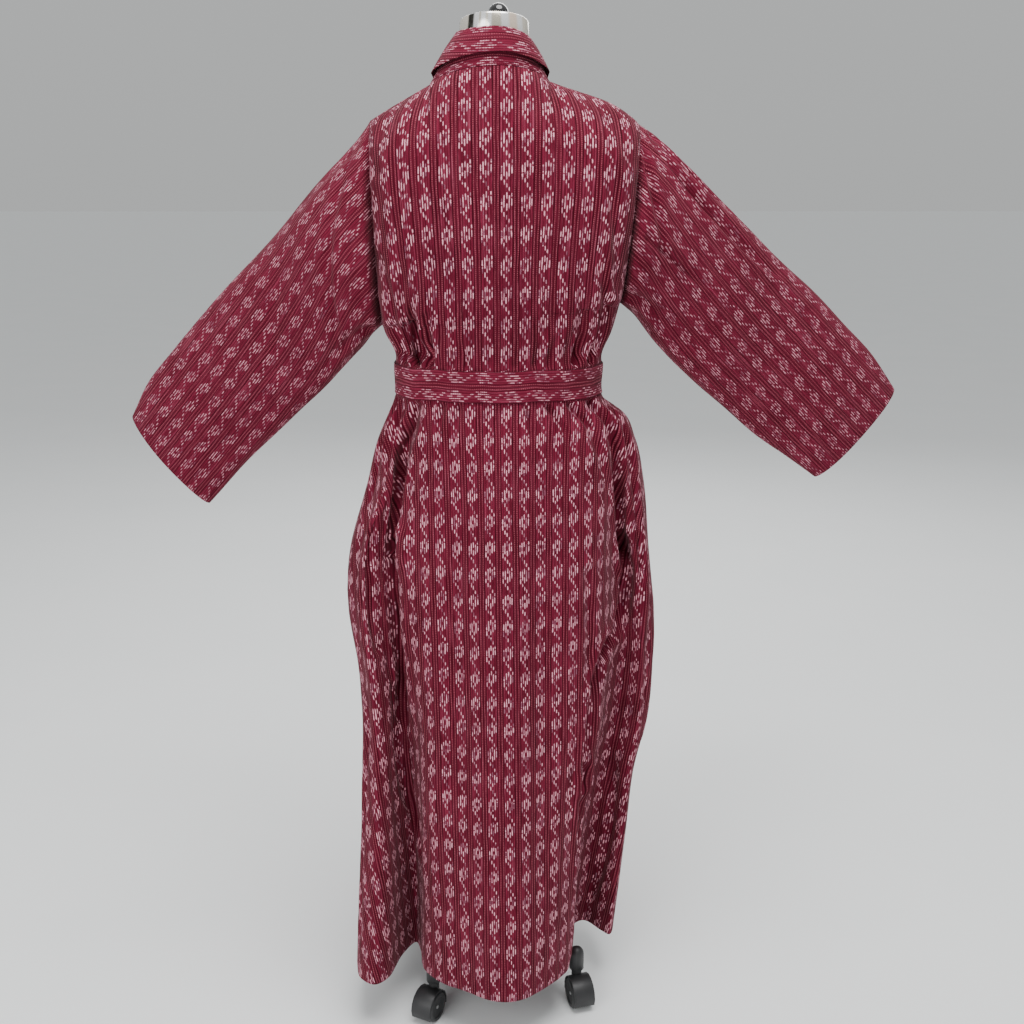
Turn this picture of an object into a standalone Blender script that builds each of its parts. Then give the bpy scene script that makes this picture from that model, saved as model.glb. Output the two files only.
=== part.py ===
"""Long belted robe with a shirt collar, worn by a limbless dress form on casters.

Metres, +Z up. The robe faces -Y, the wearer's left is +X. All shapes are worked out about the
upright line through the neck, and the whole part is then set with the origin on the floor
under the middle of its box.
"""
import math
import bpy
import bmesh
import numpy as np

# Cloth
WALL = 0.0016
SEAM = 0.0004
HALF_SEAM = 0.5 * SEAM
LAYER = 0.0007

# Columns round the body. Column 0 is the left side seam, columns run over the back.
COLUMNS = 72
STEP = 360.0 / COLUMNS
HALF = COLUMNS // 2
NECK_COLUMN = 13
LAP_COLUMNS = 2
LAP_INSET = WALL + 0.0013
ARM_ROWS = 8

# Shoulders, armholes and neckline, a row for each side: x of the neck point, its height,
# x and height of the shoulder tip, how far the shoulder seam bulges up between them,
# x and height of the underarm point
SHOULDERS = {
    "left": dict(neck_x=0.098, neck_z=1.450, tip_x=0.182, tip_z=1.402, bulge=0.001,
                 under_x=0.177, under_z=1.114),
    "right": dict(neck_x=0.070, neck_z=1.455, tip_x=0.198, tip_z=1.397, bulge=0.009,
                  under_x=0.177, under_z=1.147),
}
NAPE = dict(y=0.065, z=1.470, armhole=0.078)
THROAT = dict(y=0.082, z=1.405, armhole=0.070)
NECK_CURVE = 0.8
RIDGE_PEAK = 1.520
SHOULDER_ARCH = 0.27
SEAM_FADE = 8.0

# Belt
BELT_TOP = 1.060
BELT_BOTTOM = 1.015
BELT_MARGIN = 0.002
HEM = 0.108

# Half widths of the body: height, left, right
SIDES = (
    (1.150, 0.180, 0.177),
    (1.105, 0.171, 0.165),
    (1.068, 0.155, 0.151),
    (1.060, 0.155, 0.151),
    (1.015, 0.155, 0.151),
    (1.006, 0.157, 0.155),
    (0.985, 0.166, 0.184),
    (0.945, 0.184, 0.204),
    (0.880, 0.202, 0.219),
    (0.780, 0.230, 0.228),
    (0.680, 0.233, 0.237),
    (0.600, 0.221, 0.238),
    (0.500, 0.215, 0.233),
    (0.400, 0.217, 0.213),
    (0.270, 0.220, 0.200),
    (0.108, 0.228, 0.184),
)
# Half depths of the body: height, back, front
DEPTHS = (
    (1.470, 0.077, 0.050),
    (1.450, 0.082, 0.060),
    (1.405, 0.094, 0.082),
    (1.360, 0.106, 0.104),
    (1.300, 0.113, 0.122),
    (1.220, 0.114, 0.128),
    (1.140, 0.111, 0.121),
    (1.068, 0.104, 0.110),
    (1.060, 0.104, 0.110),
    (1.015, 0.104, 0.110),
    (1.006, 0.106, 0.111),
    (0.945, 0.124, 0.126),
    (0.880, 0.138, 0.138),
    (0.780, 0.156, 0.152),
    (0.680, 0.168, 0.162),
    (0.500, 0.184, 0.176),
    (0.270, 0.200, 0.190),
    (0.108, 0.209, 0.198),
)
# How square the outline is: height, power
SQUARENESS = (
    (1.150, 2.3),
    (1.070, 2.2),
    (1.004, 2.2),
    (0.780, 2.3),
    (0.500, 2.2),
    (0.108, 2.1),
)
# Heights of the rows below the underarm: share of the way to the belt, then heights
WAIST_SHARES = (0.35, 0.7, 1.0)
SKIRT_ROWS = (1.000, 0.975, 0.940, 0.890, 0.825, 0.745, 0.655, 0.555, 0.450, 0.340, 0.225, HEM)

# Plan of the hem, from the left side seam over the back: degrees, x, y
HEM_PLAN = (
    (0.0, 0.230, 0.000),
    (10.0, 0.235, 0.048),
    (20.0, 0.231, 0.115),
    (27.0, 0.222, 0.148),
    (34.0, 0.194, 0.163),
    (38.0, 0.178, 0.146),
    (44.0, 0.162, 0.088),
    (50.0, 0.141, 0.052),
    (55.0, 0.132, 0.074),
    (62.0, 0.1225, 0.126),
    (68.0, 0.096, 0.158),
    (76.0, 0.057, 0.180),
    (84.0, 0.019, 0.203),
    (90.0, -0.007, 0.208),
    (96.0, -0.031, 0.203),
    (104.0, -0.060, 0.182),
    (112.0, -0.090, 0.151),
    (120.0, -0.107, 0.122),
    (128.0, -0.106, 0.076),
    (136.0, -0.115, 0.018),
    (144.0, -0.138, -0.006),
    (154.0, -0.166, 0.022),
    (162.0, -0.179, 0.034),
    (170.0, -0.186, 0.020),
    (180.0, -0.187, -0.008),
    (192.0, -0.184, -0.050),
    (204.0, -0.172, -0.084),
    (214.0, -0.142, -0.092),
    (222.0, -0.110, -0.090),
    (230.0, -0.083, -0.112),
    (238.0, -0.073, -0.152),
    (248.0, -0.062, -0.184),
    (258.0, -0.034, -0.197),
    (270.0, 0.002, -0.200),
    (284.0, 0.044, -0.196),
    (293.0, 0.070, -0.182),
    (300.0, 0.087, -0.158),
    (308.0, 0.112, -0.152),
    (316.0, 0.142, -0.160),
    (324.0, 0.160, -0.146),
    (332.0, 0.165, -0.105),
    (339.0, 0.178, -0.076),
    (348.0, 0.212, -0.062),
    (354.0, 0.225, -0.034),
    (360.0, 0.230, 0.000),
)
HEM_GROWTH = 1.15
# Folds that start under the belt and open into the hem: degrees, half width in degrees,
# height where it starts, height where it is deepest, depth, direction of the push (x, y)
SKIRT_FOLDS = (
    ("back_left", 43.0, 13.0, 1.000, 0.830, 0.024, 0.10, -1.00),
    ("back_left_side", 24.0, 9.0, 0.990, 0.900, 0.010, -0.90, -0.44),
    ("back_right", 142.0, 14.0, 0.990, 0.800, 0.022, 0.10, -1.00),
    ("back_middle_left", 77.0, 9.0, 0.960, 0.700, 0.007, 0.0, -1.0),
    ("back_middle_right", 103.0, 9.0, 0.960, 0.700, 0.006, 0.0, -1.0),
    ("front_right_side", 215.0, 14.0, 1.000, 0.820, 0.022, 0.55, 0.84),
    ("front_right", 243.0, 10.0, 0.990, 0.760, 0.010, 0.15, 0.99),
    ("front_left", 299.0, 10.0, 0.990, 0.760, 0.012, -0.15, 0.99),
    ("front_left_side", 331.0, 14.0, 1.000, 0.820, 0.020, -0.50, 0.87),
)
# Folds that run up from the belt: degrees, half width in degrees, height where it ends, depth
WAIST_FOLDS = (
    ("back_left", 45.0, 9.0, 1.150, 0.018),
    ("back_right", 137.0, 9.0, 1.125, 0.011),
    ("front_right", 222.0, 10.0, 1.150, 0.014),
    ("front_left", 318.0, 10.0, 1.150, 0.014),
)
GATHERS = 18
GATHER_DEPTH = 0.0045
GATHER_RISE = 0.007
GATHER_FADE = 0.055

# Sleeves, a row for each section: upper edge x, y, z, lower edge x, y, z, half depth
LEFT_SLEEVE = (
    (0.182, 0.000, 1.402, 0.177, 0.000, 1.114, 0.074),
    (0.215, 0.000, 1.360, 0.190, -0.002, 1.101, 0.072),
    (0.262, -0.013, 1.313, 0.207, -0.008, 1.080, 0.062),
    (0.330, -0.038, 1.245, 0.235, -0.025, 1.050, 0.050),
    (0.400, -0.065, 1.178, 0.270, -0.050, 1.012, 0.043),
    (0.464, -0.090, 1.116, 0.322, -0.075, 0.966, 0.038),
    (0.515, -0.107, 1.060, 0.372, -0.095, 0.918, 0.034),
    (0.560, -0.122, 1.010, 0.425, -0.115, 0.866, 0.030),
    (0.592, -0.133, 0.955, 0.477, -0.133, 0.809, 0.026),
)
RIGHT_SLEEVE = (
    (-0.198, 0.000, 1.397, -0.177, 0.000, 1.147, 0.074),
    (-0.228, -0.003, 1.374, -0.188, -0.002, 1.138, 0.072),
    (-0.272, -0.013, 1.337, -0.205, -0.008, 1.122, 0.062),
    (-0.340, -0.035, 1.276, -0.240, -0.022, 1.078, 0.050),
    (-0.410, -0.060, 1.214, -0.292, -0.048, 1.026, 0.043),
    (-0.478, -0.088, 1.158, -0.347, -0.072, 0.979, 0.038),
    (-0.535, -0.108, 1.108, -0.400, -0.092, 0.933, 0.034),
    (-0.590, -0.126, 1.057, -0.458, -0.114, 0.893, 0.030),
    (-0.638, -0.146, 0.995, -0.515, -0.132, 0.851, 0.026),
)
SLEEVE_ROWS = 10
SLEEVE_JOIN = 0.24
SLEEVE_SPREAD = 1.15

# Collar: the fold line between stand and fall
COLLAR = dict(x=0.007, half_width=0.0525, back=0.0515, front=0.060,
              left_z=1.516, right_z=1.505, back_z=1.520, front_z=1.450)
STAND_ROWS = 2
FALL_ROWS = 3
FALL_SHARE = dict(back=0.66, side=0.81, front=1.02)
FALL_FLARE = 0.004
FALL_START = 3
FALL_POINT = 0.3

# Tails of the belt: name, x at the belt, x at the end, length
TAILS = (
    ("belt_tail_left", 0.0225, 0.050, 0.44),
    ("belt_tail_right", -0.0225, -0.046, 0.39),
)
TAIL_WIDTH = 0.042
TAIL_ROWS = 8
TAIL_GAP = 0.0028
TAIL_DROP = 0.0045
TAIL_EASE = 0.0015
KNOT = dict(width=0.052, height=0.050, depth=0.020, rounding=0.008)

# Dress form: height, half widths left and right, half depths back and front, tilt in degrees,
# squareness
FORM_SEGMENTS = 24
FORM = (
    (0.740, 0.146, 0.146, 0.092, 0.088, 0.0, 2.15),
    (0.790, 0.154, 0.154, 0.101, 0.094, 0.0, 2.15),
    (0.860, 0.157, 0.157, 0.106, 0.098, 0.0, 2.15),
    (0.930, 0.146, 0.146, 0.100, 0.098, 0.0, 2.15),
    (1.000, 0.128, 0.128, 0.088, 0.092, 0.0, 2.15),
    (1.040, 0.122, 0.122, 0.083, 0.089, 0.0, 2.15),
    (1.090, 0.126, 0.126, 0.085, 0.095, 0.0, 2.15),
    (1.160, 0.143, 0.143, 0.093, 0.107, 0.0, 2.15),
    (1.240, 0.156, 0.156, 0.095, 0.110, 0.0, 2.15),
    (1.310, 0.164, 0.165, 0.088, 0.098, 0.0, 2.15),
    (1.360, 0.166, 0.169, 0.074, 0.078, 0.0, 2.0),
)
# Upper end of the form: share of the way down the shoulder line, half depths back and front,
# squareness
FORM_SHOULDERS = (
    (1.00, 0.054, 0.048, 1.60),
    (0.80, 0.048, 0.043, 1.55),
    (0.50, 0.043, 0.039, 1.50),
    (0.20, 0.030, 0.023, 1.40),
)
FORM_SHOULDER_Z = 1.452
FORM_SHOULDER_DROP = 0.046
SHOULDER_CLEARANCE = 0.0008
FORM_NECK = (
    (1.451, 0.062, 0.045, 0.039, 0.030, 2.0, 2.0),
    (1.465, 0.053, 0.039, 0.043, 0.038, 7.0, 2.0),
    (1.482, 0.0540, 0.0400, 0.0450, 0.0440, 11.0, 2.0),
    (1.5045, 0.0540, 0.0400, 0.0445, 0.0455, 11.0, 2.0),
)
NECK_TILT = math.radians(11.0)
NECK_X = 0.007

# Neck cap and knob
CAP_RADIUS = 0.0485
CAP_HEIGHT = 0.029
CAP_EDGE = 0.003
CAP_CROWN = 0.0045
KNOB_RADIUS = 0.0145
KNOB_X = 0.001

# Stand
STAND_X = 0.0087
STAND_Y = -0.0177
POLE_RADIUS = 0.0125
HUB = dict(radius=0.034, crown=0.0187, low=0.078, shoulder=0.102, high=0.114)
LEG_RADIUS = 0.0090
LEG_Z = 0.0925
LEG_REACH = 0.165
LEG_ENDS = (0.010, 0.163)
FIRST_LEG = math.radians(52.6)
SOCKET = dict(radius=0.0118, low=0.0795, high=0.118, bore=0.0047, bore_top=0.106)
REST = 0.0003
MERGE = 0.00005

# Casters: heading of the trailing wheel, degrees
CASTER_HEADINGS = (63.0, 106.0, 250.0, 300.0)
FLOOR = 0.0216
WHEEL_RADIUS = 0.0240
WHEEL_Z = FLOOR + WHEEL_RADIUS
WHEEL_FACES = (0.0040, 0.0178)
WHEEL_EDGE = 0.0020
WHEEL_DISH = 0.0165
TRAIL = 0.0165
WHEEL_ROOM = 0.0008
HOOD = dict(inner=0.0252, outer=0.0275, half_width=0.0168, web=0.0034, foot=0.0037,
            start=-24.0, end=196.0)
WEB_LOW = 0.008
STEM_RADIUS = 0.0044
STEM_FOOT = 0.0085
FOOT_Z = 0.0560
AXLE_RADIUS = 0.0030
AXLE_HALF = 0.0165
CUT_REACH = 0.03


def clear_scene():
    """Remove the objects that a new file starts with."""
    for thing in list(bpy.data.objects):
        bpy.data.objects.remove(thing, do_unlink=True)


def make_material(name, colour, roughness, metallic=0.0):
    """One plain finish."""
    material = bpy.data.materials.new(name)
    material.use_nodes = True
    shader = material.node_tree.nodes["Principled BSDF"]
    shader.inputs["Base Color"].default_value = (*colour, 1.0)
    shader.inputs["Roughness"].default_value = roughness
    shader.inputs["Metallic"].default_value = metallic
    return material


def make_object(name, points, faces, material, root):
    """A mesh object with its faces pointing out."""
    mesh = bpy.data.meshes.new(name)
    mesh.from_pydata([tuple(point) for point in points], [], faces)
    work = bmesh.new()
    work.from_mesh(mesh)
    bmesh.ops.recalc_face_normals(work, faces=work.faces)
    work.to_mesh(mesh)
    work.free()
    mesh.shade_smooth()
    mesh.set_sharp_from_angle(angle=math.radians(40.0))
    mesh.materials.append(material)
    thing = bpy.data.objects.new(name, mesh)
    bpy.context.scene.collection.objects.link(thing)
    thing.parent = root
    return thing


def smooth_step(low, high, value):
    """0 at low, 1 at high, level at both ends."""
    share = np.clip((value - low) / (high - low), 0.0, 1.0)
    return share * share * (3.0 - 2.0 * share)


def read_table(table, key):
    """Values of a table at a key between its rows, along smooth curves through the rows."""
    rows = np.array(table, dtype=float)
    rows = rows[np.argsort(rows[:, 0])]
    keys = rows[:, 0]
    slopes = np.gradient(rows, keys, axis=0)
    key = float(np.clip(key, keys[0], keys[-1]))
    i = int(np.clip(np.searchsorted(keys, key) - 1, 0, len(keys) - 2))
    span = keys[i + 1] - keys[i]
    t = (key - keys[i]) / span
    here = (1.0 + 2.0 * t) * (1.0 - t) ** 2 * rows[i] + t * (1.0 - t) ** 2 * span * slopes[i]
    there = t * t * (3.0 - 2.0 * t) * rows[i + 1] + t * t * (t - 1.0) * span * slopes[i + 1]
    return (here + there)[1:]


def unit(vectors):
    """Vectors of length one."""
    return vectors / np.linalg.norm(vectors, axis=-1, keepdims=True)


def outline_point(degrees, z):
    """Point of the body's smooth outline, before folds."""
    left, right = read_table(SIDES, z)
    back, front = read_table(DEPTHS, z)
    power = 2.0 / read_table(SQUARENESS, z)[0]
    c = math.cos(math.radians(degrees))
    s = math.sin(math.radians(degrees))
    x = (left if c > 0.0 else -right) * abs(c) ** power
    y = (back if s > 0.0 else -front) * abs(s) ** power
    if abs(s) < 1e-9:
        y = 0.0
    return np.array([x, y, z])


def fold_push(degrees, z):
    """How far the skirt's folds, the folds above the belt and the gathers push a point in."""
    push = np.zeros(3)
    for _, centre, width, start, deepest, depth, pull_x, pull_y in SKIRT_FOLDS:
        share = abs(degrees - centre) / width
        if z < start and share < 1.0:
            size = depth * smooth_step(start, deepest, z) * (1.0 - smooth_step(deepest, HEM, z))
            push += size * math.cos(0.5 * math.pi * share) ** 2 * np.array([pull_x, pull_y, 0.0])
    inward = -np.array([math.cos(math.radians(degrees)), math.sin(math.radians(degrees)), 0.0])
    above = z - BELT_TOP - BELT_MARGIN
    if above > 0.0:
        for _, centre, width, end, depth in WAIST_FOLDS:
            share = abs(degrees - centre) / width
            if share < 1.0 and z < end:
                size = depth * smooth_step(0.0, 0.02, above) * (1.0 - smooth_step(BELT_TOP + 0.02, end, z))
                push += size * math.cos(0.5 * math.pi * share) ** 2 * inward
    distance = max(above, BELT_BOTTOM - BELT_MARGIN - z)
    if distance > 0.0:
        size = GATHER_DEPTH * (1.0 - math.exp(-distance / GATHER_RISE)) * math.exp(-distance / GATHER_FADE)
        wave = 0.5 - 0.5 * math.cos(math.radians(degrees) * GATHERS)
        push += size * wave * inward
    return push


def body_point(degrees, z):
    """Point of the cloth's outer face below the armholes."""
    point = outline_point(degrees, z) + fold_push(degrees, z)
    top = BELT_BOTTOM - BELT_MARGIN
    if z < top:
        opened = ((top - z) / (top - HEM)) ** HEM_GROWTH
        point[:2] += (read_table(HEM_PLAN, degrees) - outline_point(degrees, HEM)[:2]) * opened
    return point


def side_of(degrees):
    """Sizes of the shoulder on this side, and the sign of its x."""
    if math.cos(math.radians(degrees)) > 0.0:
        return SHOULDERS["left"], 1.0
    return SHOULDERS["right"], -1.0


def column_width(degrees):
    """Share of the half width at which a column stands, as on the body's outline."""
    return abs(math.cos(math.radians(degrees))) ** (2.0 / SQUARENESS[0][1])


def top_edge(degrees):
    """Point of the shoulder seam or of the neckline at the top of a column."""
    side, sign = side_of(degrees)
    centre = NAPE if math.sin(math.radians(degrees)) > 0.0 else THROAT
    share = column_width(degrees)
    neck_share = column_width(NECK_COLUMN * STEP)
    if share >= neck_share - 1e-9:
        x = side["neck_x"] + (side["tip_x"] - side["neck_x"]) * (share - neck_share) / (1.0 - neck_share)
        return np.array([sign * x, 0.0, ridge_height(x, side)])
    q = share / neck_share
    y = centre["y"] * math.sqrt(1.0 - q * q)
    z = side["neck_z"] + (centre["z"] - side["neck_z"]) * (1.0 - q * q) ** NECK_CURVE
    if centre is THROAT:
        y = -y
    return np.array([sign * side["neck_x"] * q, y, z])


def underarm_height(degrees):
    """Height of the row that meets the underarm points."""
    share = math.copysign(column_width(degrees), math.cos(math.radians(degrees)))
    left, right = SHOULDERS["left"]["under_z"], SHOULDERS["right"]["under_z"]
    return 0.5 * (left + right) + 0.5 * (left - right) * share


def ridge_height(x, side):
    """Height of the shoulder line, carried on in a straight line to its peak over the neck."""
    x = abs(x)
    if x < side["neck_x"]:
        return RIDGE_PEAK + (side["neck_z"] - RIDGE_PEAK) * x / side["neck_x"]
    out = min((x - side["neck_x"]) / (side["tip_x"] - side["neck_x"]), 1.0)
    bulge = side["bulge"] * math.sin(math.pi * out ** 1.5)
    return side["neck_z"] + (side["tip_z"] - side["neck_z"]) * out + bulge


def chest_depth(degrees, row, point):
    """How far the chest stands out at a point: an arch off the shoulder line, then the body's depth."""
    phase = math.pi * row / ARM_ROWS
    behind = math.sin(math.radians(degrees)) > 0.0
    centre = NAPE if behind else THROAT
    under = underarm_height(90.0)
    depth = read_table(DEPTHS, point[2])[0 if behind else 1]
    ridge = ridge_height(point[0], side_of(degrees)[0])
    drop = min(max(ridge - point[2], 0.0) / (ridge - under) / SHOULDER_ARCH, 1.0)
    edge = centre["armhole"] * math.sin(phase)
    share = abs(math.sin(math.radians(degrees))) ** (2.0 / SQUARENESS[0][1])
    return edge + (depth * math.sqrt(drop * (2.0 - drop)) - edge) * share


def chest_point(degrees, row):
    """Point of the cloth between the shoulder line and the underarm row."""
    down = 0.5 - 0.5 * math.cos(math.pi * row / ARM_ROWS)
    top = top_edge(degrees)
    bottom = outline_point(degrees, underarm_height(degrees))
    point = top + (bottom - top) * down
    y = chest_depth(degrees, row, point)
    y += (abs(top[1]) - chest_depth(degrees, 0, top)) * (1.0 - down) ** SEAM_FADE
    point[1] = y if math.sin(math.radians(degrees)) > 0.0 else -y
    if row > 0 and point[2] > BELT_TOP + BELT_MARGIN:
        point += fold_push(degrees, point[2])
    return point


def body_rows():
    """Grid of the cloth's outer face: rows from the shoulders to the hem, one closed turn of columns."""
    angles = [STEP * column for column in range(COLUMNS + 1)]
    seam_angles = (0.0, 180.0, 360.0)
    back = []
    front = []
    for grid, half in ((back, angles[:HALF + 1]), (front, angles[HALF:])):
        inside = half[len(half) // 2]
        for row in range(ARM_ROWS + 1):
            line = []
            for degrees in half:
                shifted = degrees + (1e-7 if degrees < inside else -1e-7) * (degrees in seam_angles)
                line.append(chest_point(shifted, row))
            grid.append(line)
        for share in WAIST_SHARES:
            line = []
            for degrees in half:
                start = underarm_height(degrees)
                line.append(body_point(degrees, start + (BELT_TOP + BELT_MARGIN - start) * share))
            grid.append(line)
        for z in (BELT_BOTTOM - BELT_MARGIN,) + SKIRT_ROWS:
            grid.append([body_point(degrees, z) for degrees in half])
    return np.array(back), np.array(front)


def grid_normals(grid, before, after, above):
    """Outward normals of a grid, from the points beside it where a neighbour continues it."""
    rows, columns, _ = grid.shape
    wide = np.zeros((rows + 2, columns + 2, 3))
    wide[1:-1, 1:-1] = grid
    wide[1:-1, 0] = before
    wide[1:-1, -1] = after
    wide[0, 1:-1] = above
    wide[-1, 1:-1] = 2.0 * grid[-1] - grid[-2]
    along = wide[1:-1, 2:] - wide[1:-1, :-2]
    down = wide[2:, 1:-1] - wide[:-2, 1:-1]
    return unit(np.cross(down, along))


def body_normals(back, front):
    """Normals of both halves, the same on both sides of each seam."""
    edges = {}
    for name, grid, other in (("back", back, front), ("front", front, back)):
        before = 2.0 * grid[:, 0] - grid[:, 1]
        after = 2.0 * grid[:, -1] - grid[:, -2]
        before[ARM_ROWS:] = other[ARM_ROWS:, -2]
        after[ARM_ROWS:] = other[ARM_ROWS:, 1]
        above = 2.0 * grid[0] - grid[1]
        mirrored = other[1, ::-1]
        above[:NECK_COLUMN + 1] = mirrored[:NECK_COLUMN + 1]
        above[-NECK_COLUMN - 1:] = mirrored[-NECK_COLUMN - 1:]
        edges[name] = grid_normals(grid, before, after, above)
    back_n, front_n = edges["back"], edges["front"]
    for column, mirror in ((0, -1), (-1, 0)):
        shared = unit(back_n[ARM_ROWS:, column] + front_n[ARM_ROWS:, mirror])
        back_n[ARM_ROWS:, column] = shared
        front_n[ARM_ROWS:, mirror] = shared
    for column in list(range(NECK_COLUMN + 1)) + list(range(HALF - NECK_COLUMN, HALF + 1)):
        shared = unit(back_n[0, column] + front_n[0, HALF - column])
        back_n[0, column] = shared
        front_n[0, HALF - column] = shared
    return back_n, front_n


def wall_faces(rows, columns, closed):
    """Faces of a wall: its outer and inner grids, and the strips along its open edges."""
    faces = []
    turn = columns if closed else columns - 1
    inner = rows * columns

    def at(row, column):
        return row * columns + column % columns

    for row in range(rows - 1):
        for column in range(turn):
            a, b = at(row, column), at(row, column + 1)
            c, d = at(row + 1, column + 1), at(row + 1, column)
            faces.append((a, b, c, d))
            faces.append((inner + d, inner + c, inner + b, inner + a))
    for column in range(turn):
        a, b = at(0, column), at(0, column + 1)
        c, d = at(rows - 1, column), at(rows - 1, column + 1)
        faces.append((b, a, inner + a, inner + b))
        faces.append((c, d, inner + d, inner + c))
    if not closed:
        for row in range(rows - 1):
            a, b = at(row, 0), at(row + 1, 0)
            c, d = at(row, columns - 1), at(row + 1, columns - 1)
            faces.append((a, b, inner + b, inner + a))
            faces.append((d, c, inner + c, inner + d))
    return faces


def make_wall(name, outer, inner, material, root, closed=False):
    """One piece of cloth, between its outer and its inner grid."""
    rows, columns, _ = outer.shape
    points = np.concatenate((outer.reshape(-1, 3), inner.reshape(-1, 3)))
    return make_object(name, points, wall_faces(rows, columns, closed), material, root)


def pull_back_edges(grid, columns, top):
    """Move a panel's edges inward by half a seam: side edges, and the top edge."""
    moved = grid.copy()
    for column, inside in columns:
        moved[:, column] += unit(grid[:, inside] - grid[:, column]) * HALF_SEAM
    if top:
        moved[0] += unit(grid[1] - grid[0]) * HALF_SEAM
    return moved


def make_panel(name, grid, normals, material, root):
    """A body panel with its seam allowances taken off."""
    edges = ((0, 1), (-1, -2))
    outer = pull_back_edges(grid, edges, True)
    inner = pull_back_edges(grid - normals * WALL, edges, True)
    return make_wall(name, outer, inner, material, root)


def lap_grid(grid, normals):
    """The right front's grid, set back where the left front lies over it."""
    last = HALF // 2 + LAP_COLUMNS
    part = grid[:, :last + 1].copy()
    for column in range(last + 1):
        inset = LAP_INSET * smooth_step(last - 2 * LAP_COLUMNS - 2, last - 2 * LAP_COLUMNS, column)
        part[:, column] -= normals[:, column] * inset
    return part


def sleeve_ring0(back, front, back_n, front_n, left):
    """The armhole: points and normals from the shoulder tip over the back and round the front."""
    back_column, front_column = (0, -1) if left else (-1, 0)
    points = [back[row, back_column] for row in range(ARM_ROWS + 1)]
    points += [front[row, front_column] for row in range(ARM_ROWS - 1, 0, -1)]
    normals = [back_n[row, back_column] for row in range(ARM_ROWS + 1)]
    normals += [front_n[row, front_column] for row in range(ARM_ROWS - 1, 0, -1)]
    return np.array(points), np.array(normals)


def sleeve_section(table, share):
    """Section of a sleeve: middle, half height vector, sideways vector."""
    numbered = [(index / (len(table) - 1), *row) for index, row in enumerate(table)]
    values = read_table(numbered, share)
    before = read_table(numbered, max(share - 0.05, 0.0))
    after = read_table(numbered, min(share + 0.05, 1.0))
    upper, lower, depth = values[0:3], values[3:6], values[6]
    run = unit(0.5 * (after[0:3] + after[3:6] - before[0:3] - before[3:6]))
    half = 0.5 * (upper - lower)
    across = unit(np.cross(run, half))
    if across[1] < 0.0:
        across = -across
    return 0.5 * (upper + lower), half, across * depth


def sleeve_grid(table, ring0):
    """Rings of a sleeve from the armhole to the cuff."""
    count = len(ring0)
    phases = np.arange(count) * 2.0 * math.pi / count
    rings = [ring0]
    for row in range(1, SLEEVE_ROWS + 1):
        share = (row / SLEEVE_ROWS) ** SLEEVE_SPREAD
        middle, half, side = sleeve_section(table, share)
        plain = middle + np.cos(phases)[:, None] * half + np.sin(phases)[:, None] * side
        middle0, half0, side0 = sleeve_section(table, 0.0)
        plain0 = middle0 + np.cos(phases)[:, None] * half0 + np.sin(phases)[:, None] * side0
        keep = 1.0 - smooth_step(0.0, SLEEVE_JOIN, share)
        rings.append(plain + (ring0 - plain0) * keep)
    return np.array(rings)


def ring_normals(grid):
    """Outward normals of a tube's rings."""
    along = np.roll(grid, -1, axis=1) - np.roll(grid, 1, axis=1)
    down = np.gradient(grid, axis=0)
    normals = unit(np.cross(down, along))
    centre = grid.mean(axis=1, keepdims=True)
    outward = np.sum(normals * (grid - centre), axis=(1, 2))
    return normals * np.where(outward < 0.0, -1.0, 1.0)[:, None, None]


def make_sleeve(name, table, back, front, back_n, front_n, left, material, root):
    """A sleeve, a seam's width off the armhole."""
    ring, normals0 = sleeve_ring0(back, front, back_n, front_n, left)
    tangent = np.roll(ring, -1, axis=0) - np.roll(ring, 1, axis=0)
    away = unit(np.cross(tangent, normals0))
    sign = 1.0 if left else -1.0
    if np.sum(away[:, 0]) * sign < 0.0:
        away = -away
    grid = sleeve_grid(table, ring)
    normals = ring_normals(grid)
    normals[0] = unit(normals0 + normals[0])
    inner = grid - normals * WALL
    grid[0] += away * SEAM
    inner[0] += away * SEAM
    return make_wall(name, grid, inner, material, root, closed=True)


def neck_columns(back, front, back_n, front_n, inset):
    """Neckline from the right front's edge, set in, round the back to the left front's edge."""
    points = []
    middle = HALF // 2
    for column in range(middle + LAP_COLUMNS, NECK_COLUMN, -1):
        set_back = inset * smooth_step(middle - LAP_COLUMNS - 2, middle - LAP_COLUMNS, column)
        normal = front_n[0, column]
        points.append((front[0, column] - normal * set_back, normal, 180.0 + column * STEP))
    for column in range(HALF - NECK_COLUMN, NECK_COLUMN - 1, -1):
        points.append((back[0, column], back_n[0, column], column * STEP))
    for column in range(HALF - NECK_COLUMN - 1, middle - LAP_COLUMNS - 1, -1):
        points.append((front[0, column], front_n[0, column], 180.0 + column * STEP))
    return points


def fold_line(degrees, lap_inset):
    """Point of the collar's fold line above a neckline column."""
    side, sign = side_of(degrees)
    q = sign * min(column_width(degrees) / column_width(NECK_COLUMN * STEP), 1.0)
    behind = math.sin(math.radians(degrees)) > 0.0
    round_part = math.sqrt(max(1.0 - q * q, 0.0))
    depth = COLLAR["back"] if behind else -(COLLAR["front"] - lap_inset)
    middle = 0.5 * (COLLAR["left_z"] + COLLAR["right_z"])
    side_z = middle + 0.5 * (COLLAR["left_z"] - COLLAR["right_z"]) * q
    centre_z = COLLAR["back_z"] if behind else COLLAR["front_z"]
    z = side_z + (centre_z - side_z) * (1.0 - q * q) ** NECK_CURVE
    return np.array([COLLAR["x"] + COLLAR["half_width"] * q, depth * round_part, z])


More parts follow.
